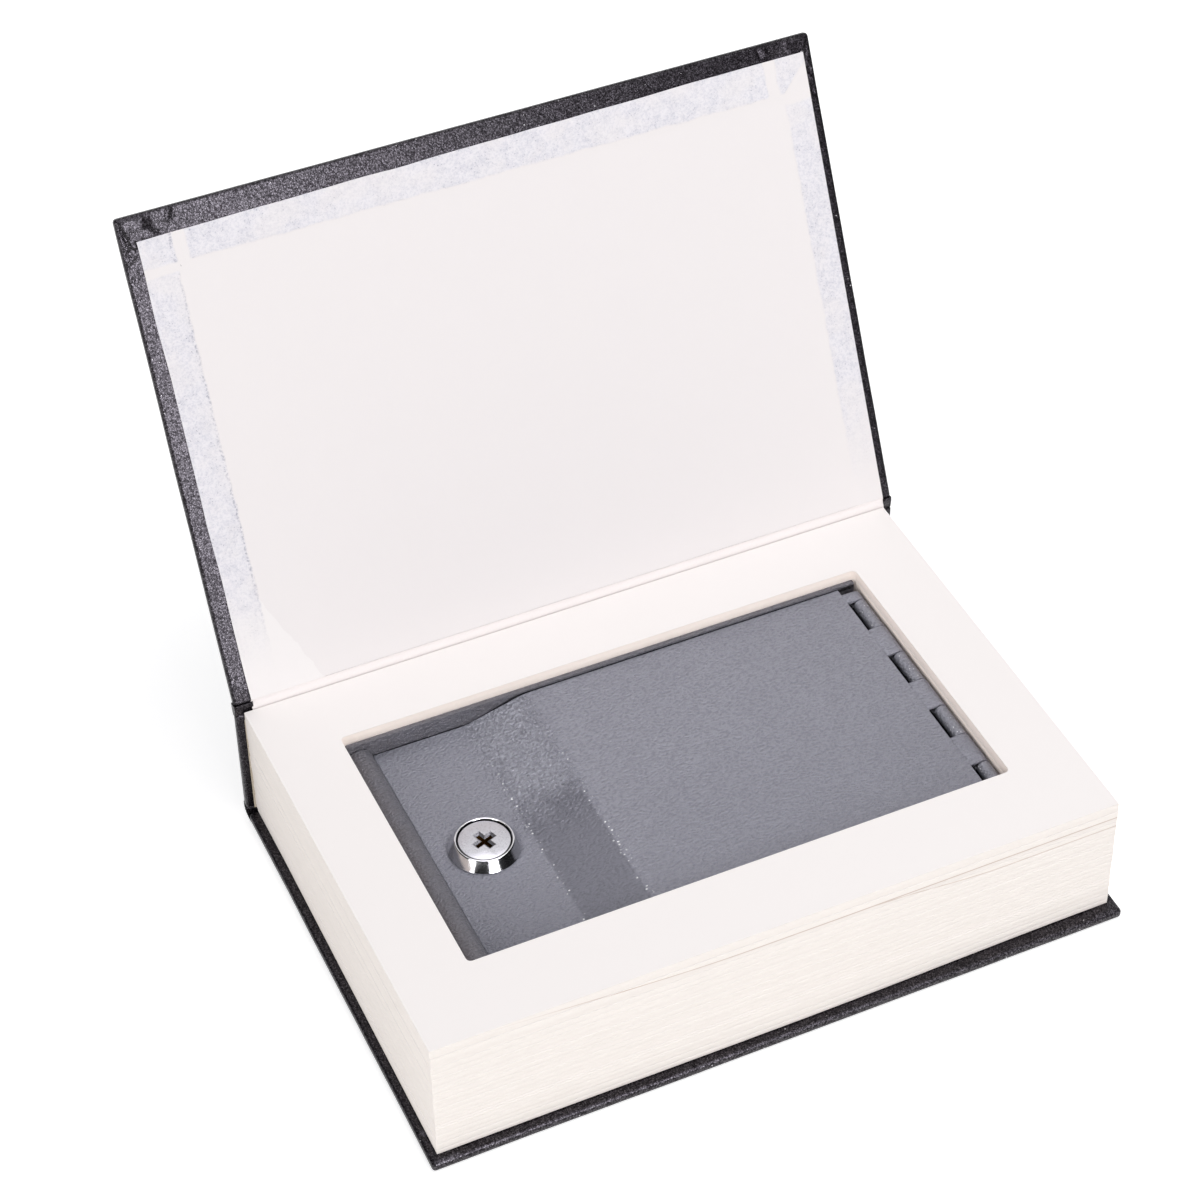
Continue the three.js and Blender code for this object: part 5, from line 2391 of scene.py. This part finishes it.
@dataclass
class Studio:
    """The white room: floor, soft light and the camera where the photograph was taken."""

    camera_place: tuple[float, float, float] = (-0.31749, -0.65416, 0.78826)
    right: tuple[float, float, float] = (0.908245, -0.418284, -0.011353)
    down: tuple[float, float, float] = (-0.292171, -0.614520, -0.732804)
    lens: float = 100.49
    sensor: float = 36.0
    aim: tuple[float, float, float] = (0.0, 0.02, 0.05)
    white: Colour = (1.0, 1.0, 1.0, 1.0)
    sky_tint: Colour = (0.985, 0.985, 1.0, 1.0)
    sky: float = 0.60
    floor_grey: Colour = (0.86, 0.86, 0.86, 1.0)
    floor_glow: float = 0.50
    floor_size: float = 6.0
    card_distance: float = 1.5
    card_dark: Colour = tone(24, 24, 26)
    card_light: Colour = tone(250, 248, 255)

    def camera(self) -> None:
        """Set the camera up at the photograph's viewing angle."""
        data = bpy.data.cameras.new("photo_camera")
        data.lens = self.lens
        data.sensor_width = self.sensor
        data.clip_start = 0.01
        camera = bpy.data.objects.new("photo_camera", data)
        bpy.context.scene.collection.objects.link(camera)
        right = Vector(self.right).normalized()
        up = -(Vector(self.down) - right * Vector(self.down).dot(right)).normalized()
        turn = Matrix((right, up, right.cross(up))).transposed().to_4x4()
        camera.matrix_world = Matrix.Translation(self.camera_place) @ turn
        bpy.context.scene.camera = camera

    def _seen(self, tree: bpy.types.NodeTree) -> bpy.types.NodeSocket:
        """Tell what is seen directly, in a gloss or through glass from what only lights the book.

        Args:
            tree: The tree of the sky or the floor.

        Returns:
            1 where it is seen, otherwise 0.
        """
        path = lay(tree, "LightPath").outputs
        other = {0: path["Is Glossy Ray"], 1: path["Is Transmission Ray"]}
        either = {0: path["Is Camera Ray"], 1: lay(tree, "Math", other, operation="MAXIMUM").outputs[0]}
        return lay(tree, "Math", either, operation="MAXIMUM").outputs[0]

    def world(self) -> None:
        """Light the room evenly and keep the background white."""
        world = bpy.data.worlds.new("studio")
        world.use_nodes = True
        tree = world.node_tree
        tree.nodes.clear()
        seen = lay(tree, "Background", {"Color": self.white, "Strength": 1.0})
        light = lay(tree, "Background", {"Color": self.sky_tint, "Strength": self.sky})
        mix = lay(tree, "MixShader", {0: self._seen(tree), 1: light.outputs[0], 2: seen.outputs[0]})
        lay(tree, "OutputWorld", {"Surface": mix.outputs[0]})
        bpy.context.scene.world = world

    def floor(self) -> None:
        """Lay a pale floor that keeps the book's shadow."""
        half = self.floor_size / 2
        floor = Model.sheet("studio_floor", (-half, -half, -0.0002), (half, half, 0.0), 4, 4)
        material = bpy.data.materials.new("studio_floor")
        material.use_nodes = True
        tree = material.node_tree
        tree.nodes.clear()
        matt = lay(tree, "BsdfDiffuse", {"Color": self.floor_grey})
        power = lay(tree, "Math", {0: self._seen(tree), 1: self.floor_glow}, operation="MULTIPLY")
        glow = lay(tree, "Emission", {"Color": self.white, "Strength": power.outputs[0]})
        both = lay(tree, "AddShader", {0: matt.outputs[0], 1: glow.outputs[0]})
        lay(tree, "OutputMaterial", {"Surface": both.outputs[0]})
        floor.solid.data.materials.append(material)

    def card(self, name: str, around: Span, upward: Span, glow: float = 0.0) -> None:
        """Stand a curved card beside the set, which only polished metal and gloss can see.

        Args:
            name: The card's name.
            around: Where it starts and ends round the book, in degrees from +X.
            upward: The angles of its lower and upper edge above the floor, in degrees.
            glow: How bright it shines, or 0 for a dark card.
        """
        card = Model.sheet(name, (0.0, 0.0, 0.0), (1.0, 1.0, 0.0), 24, 8)

        def bent(place: Vector) -> Vector:
            """Put a corner on a ball round the book.

            Args:
                place: The corner's place.

            Returns:
                Its new place.
            """
            turn = math.radians(around[0] + (around[1] - around[0]) * place.x)
            lift = math.radians(upward[0] + (upward[1] - upward[0]) * place.y)
            flat = math.cos(lift)
            return Vector(
                (flat * math.cos(turn), flat * math.sin(turn), math.sin(lift))
            ) * self.card_distance

        card.mould(bent)
        material = Palette(name)
        material.set(Base_Color=self.card_dark, Roughness=1.0, Specular_IOR_Level=0.0)
        material.set(Emission_Color=self.card_light, Emission_Strength=glow)
        card.solid.data.materials.append(material.material)
        for sight in ("camera", "diffuse", "transmission", "volume_scatter", "shadow"):
            setattr(card.solid, f"visible_{sight}", False)

    def lamp(self, name: str, place: Point, size: float, watts: float) -> None:
        """Hang a soft square light that faces the book.

        Args:
            name: The light's name.
            place: Where it hangs.
            size: The length of its sides.
            watts: Its power.
        """
        data = bpy.data.lights.new(name, "AREA")
        data.shape = "SQUARE"
        data.size = size
        data.energy = watts
        lamp = bpy.data.objects.new(name, data)
        bpy.context.scene.collection.objects.link(lamp)
        turn = (Vector(self.aim) - Vector(place)).to_track_quat("-Z", "Y").to_matrix().to_4x4()
        lamp.matrix_world = Matrix.Translation(place) @ turn

    def build(self) -> None:
        """Set up the whole room."""
        bpy.context.scene.view_settings.view_transform = "Standard"
        self.camera()
        self.world()
        self.floor()
        self.card("card_beside_camera", around=(-146.0, -103.0), upward=(20.0, 64.0))
        self.card("card_right", around=(-73.0, 20.0), upward=(3.0, 37.0))
        self.card("card_right_high", around=(-54.0, 20.0), upward=(37.5, 60.0))
        self.card("card_left", around=(112.0, 192.0), upward=(3.0, 60.0))
        self.card("softbox_front", around=(-101.0, -76.0), upward=(4.0, 56.0), glow=13.0)
        self.card("softbox_high", around=(-75.0, -55.0), upward=(38.0, 58.0), glow=5.0)
        self.card("softbox_top", around=(0.0, 360.0), upward=(68.0, 89.0), glow=3.0)
        self.lamp("key_light", place=(0.95, -0.30, 1.30), size=0.9, watts=8.8)
        self.lamp("front_light", place=(0.05, -1.50, 0.45), size=0.5, watts=3.9)
        self.lamp("left_light", place=(-1.50, -0.70, 0.60), size=0.7, watts=8.0)


def main() -> None:
    """Build the room and the book, piece by piece."""
    logging.basicConfig(level=logging.INFO, format="%(message)s")
    for name, maker in (
        ("studio", Studio()),
        ("book case", BookCase()),
        ("page block", PageBlock()),
        ("steel box", SteelBox()),
        ("lid", StampedLid()),
        ("lock", CamLock()),
        ("kept parts", KeptNodes()),
    ):
        maker.build()
        LOG.info("%s made", name)


if __name__ == "__main__":
    main()
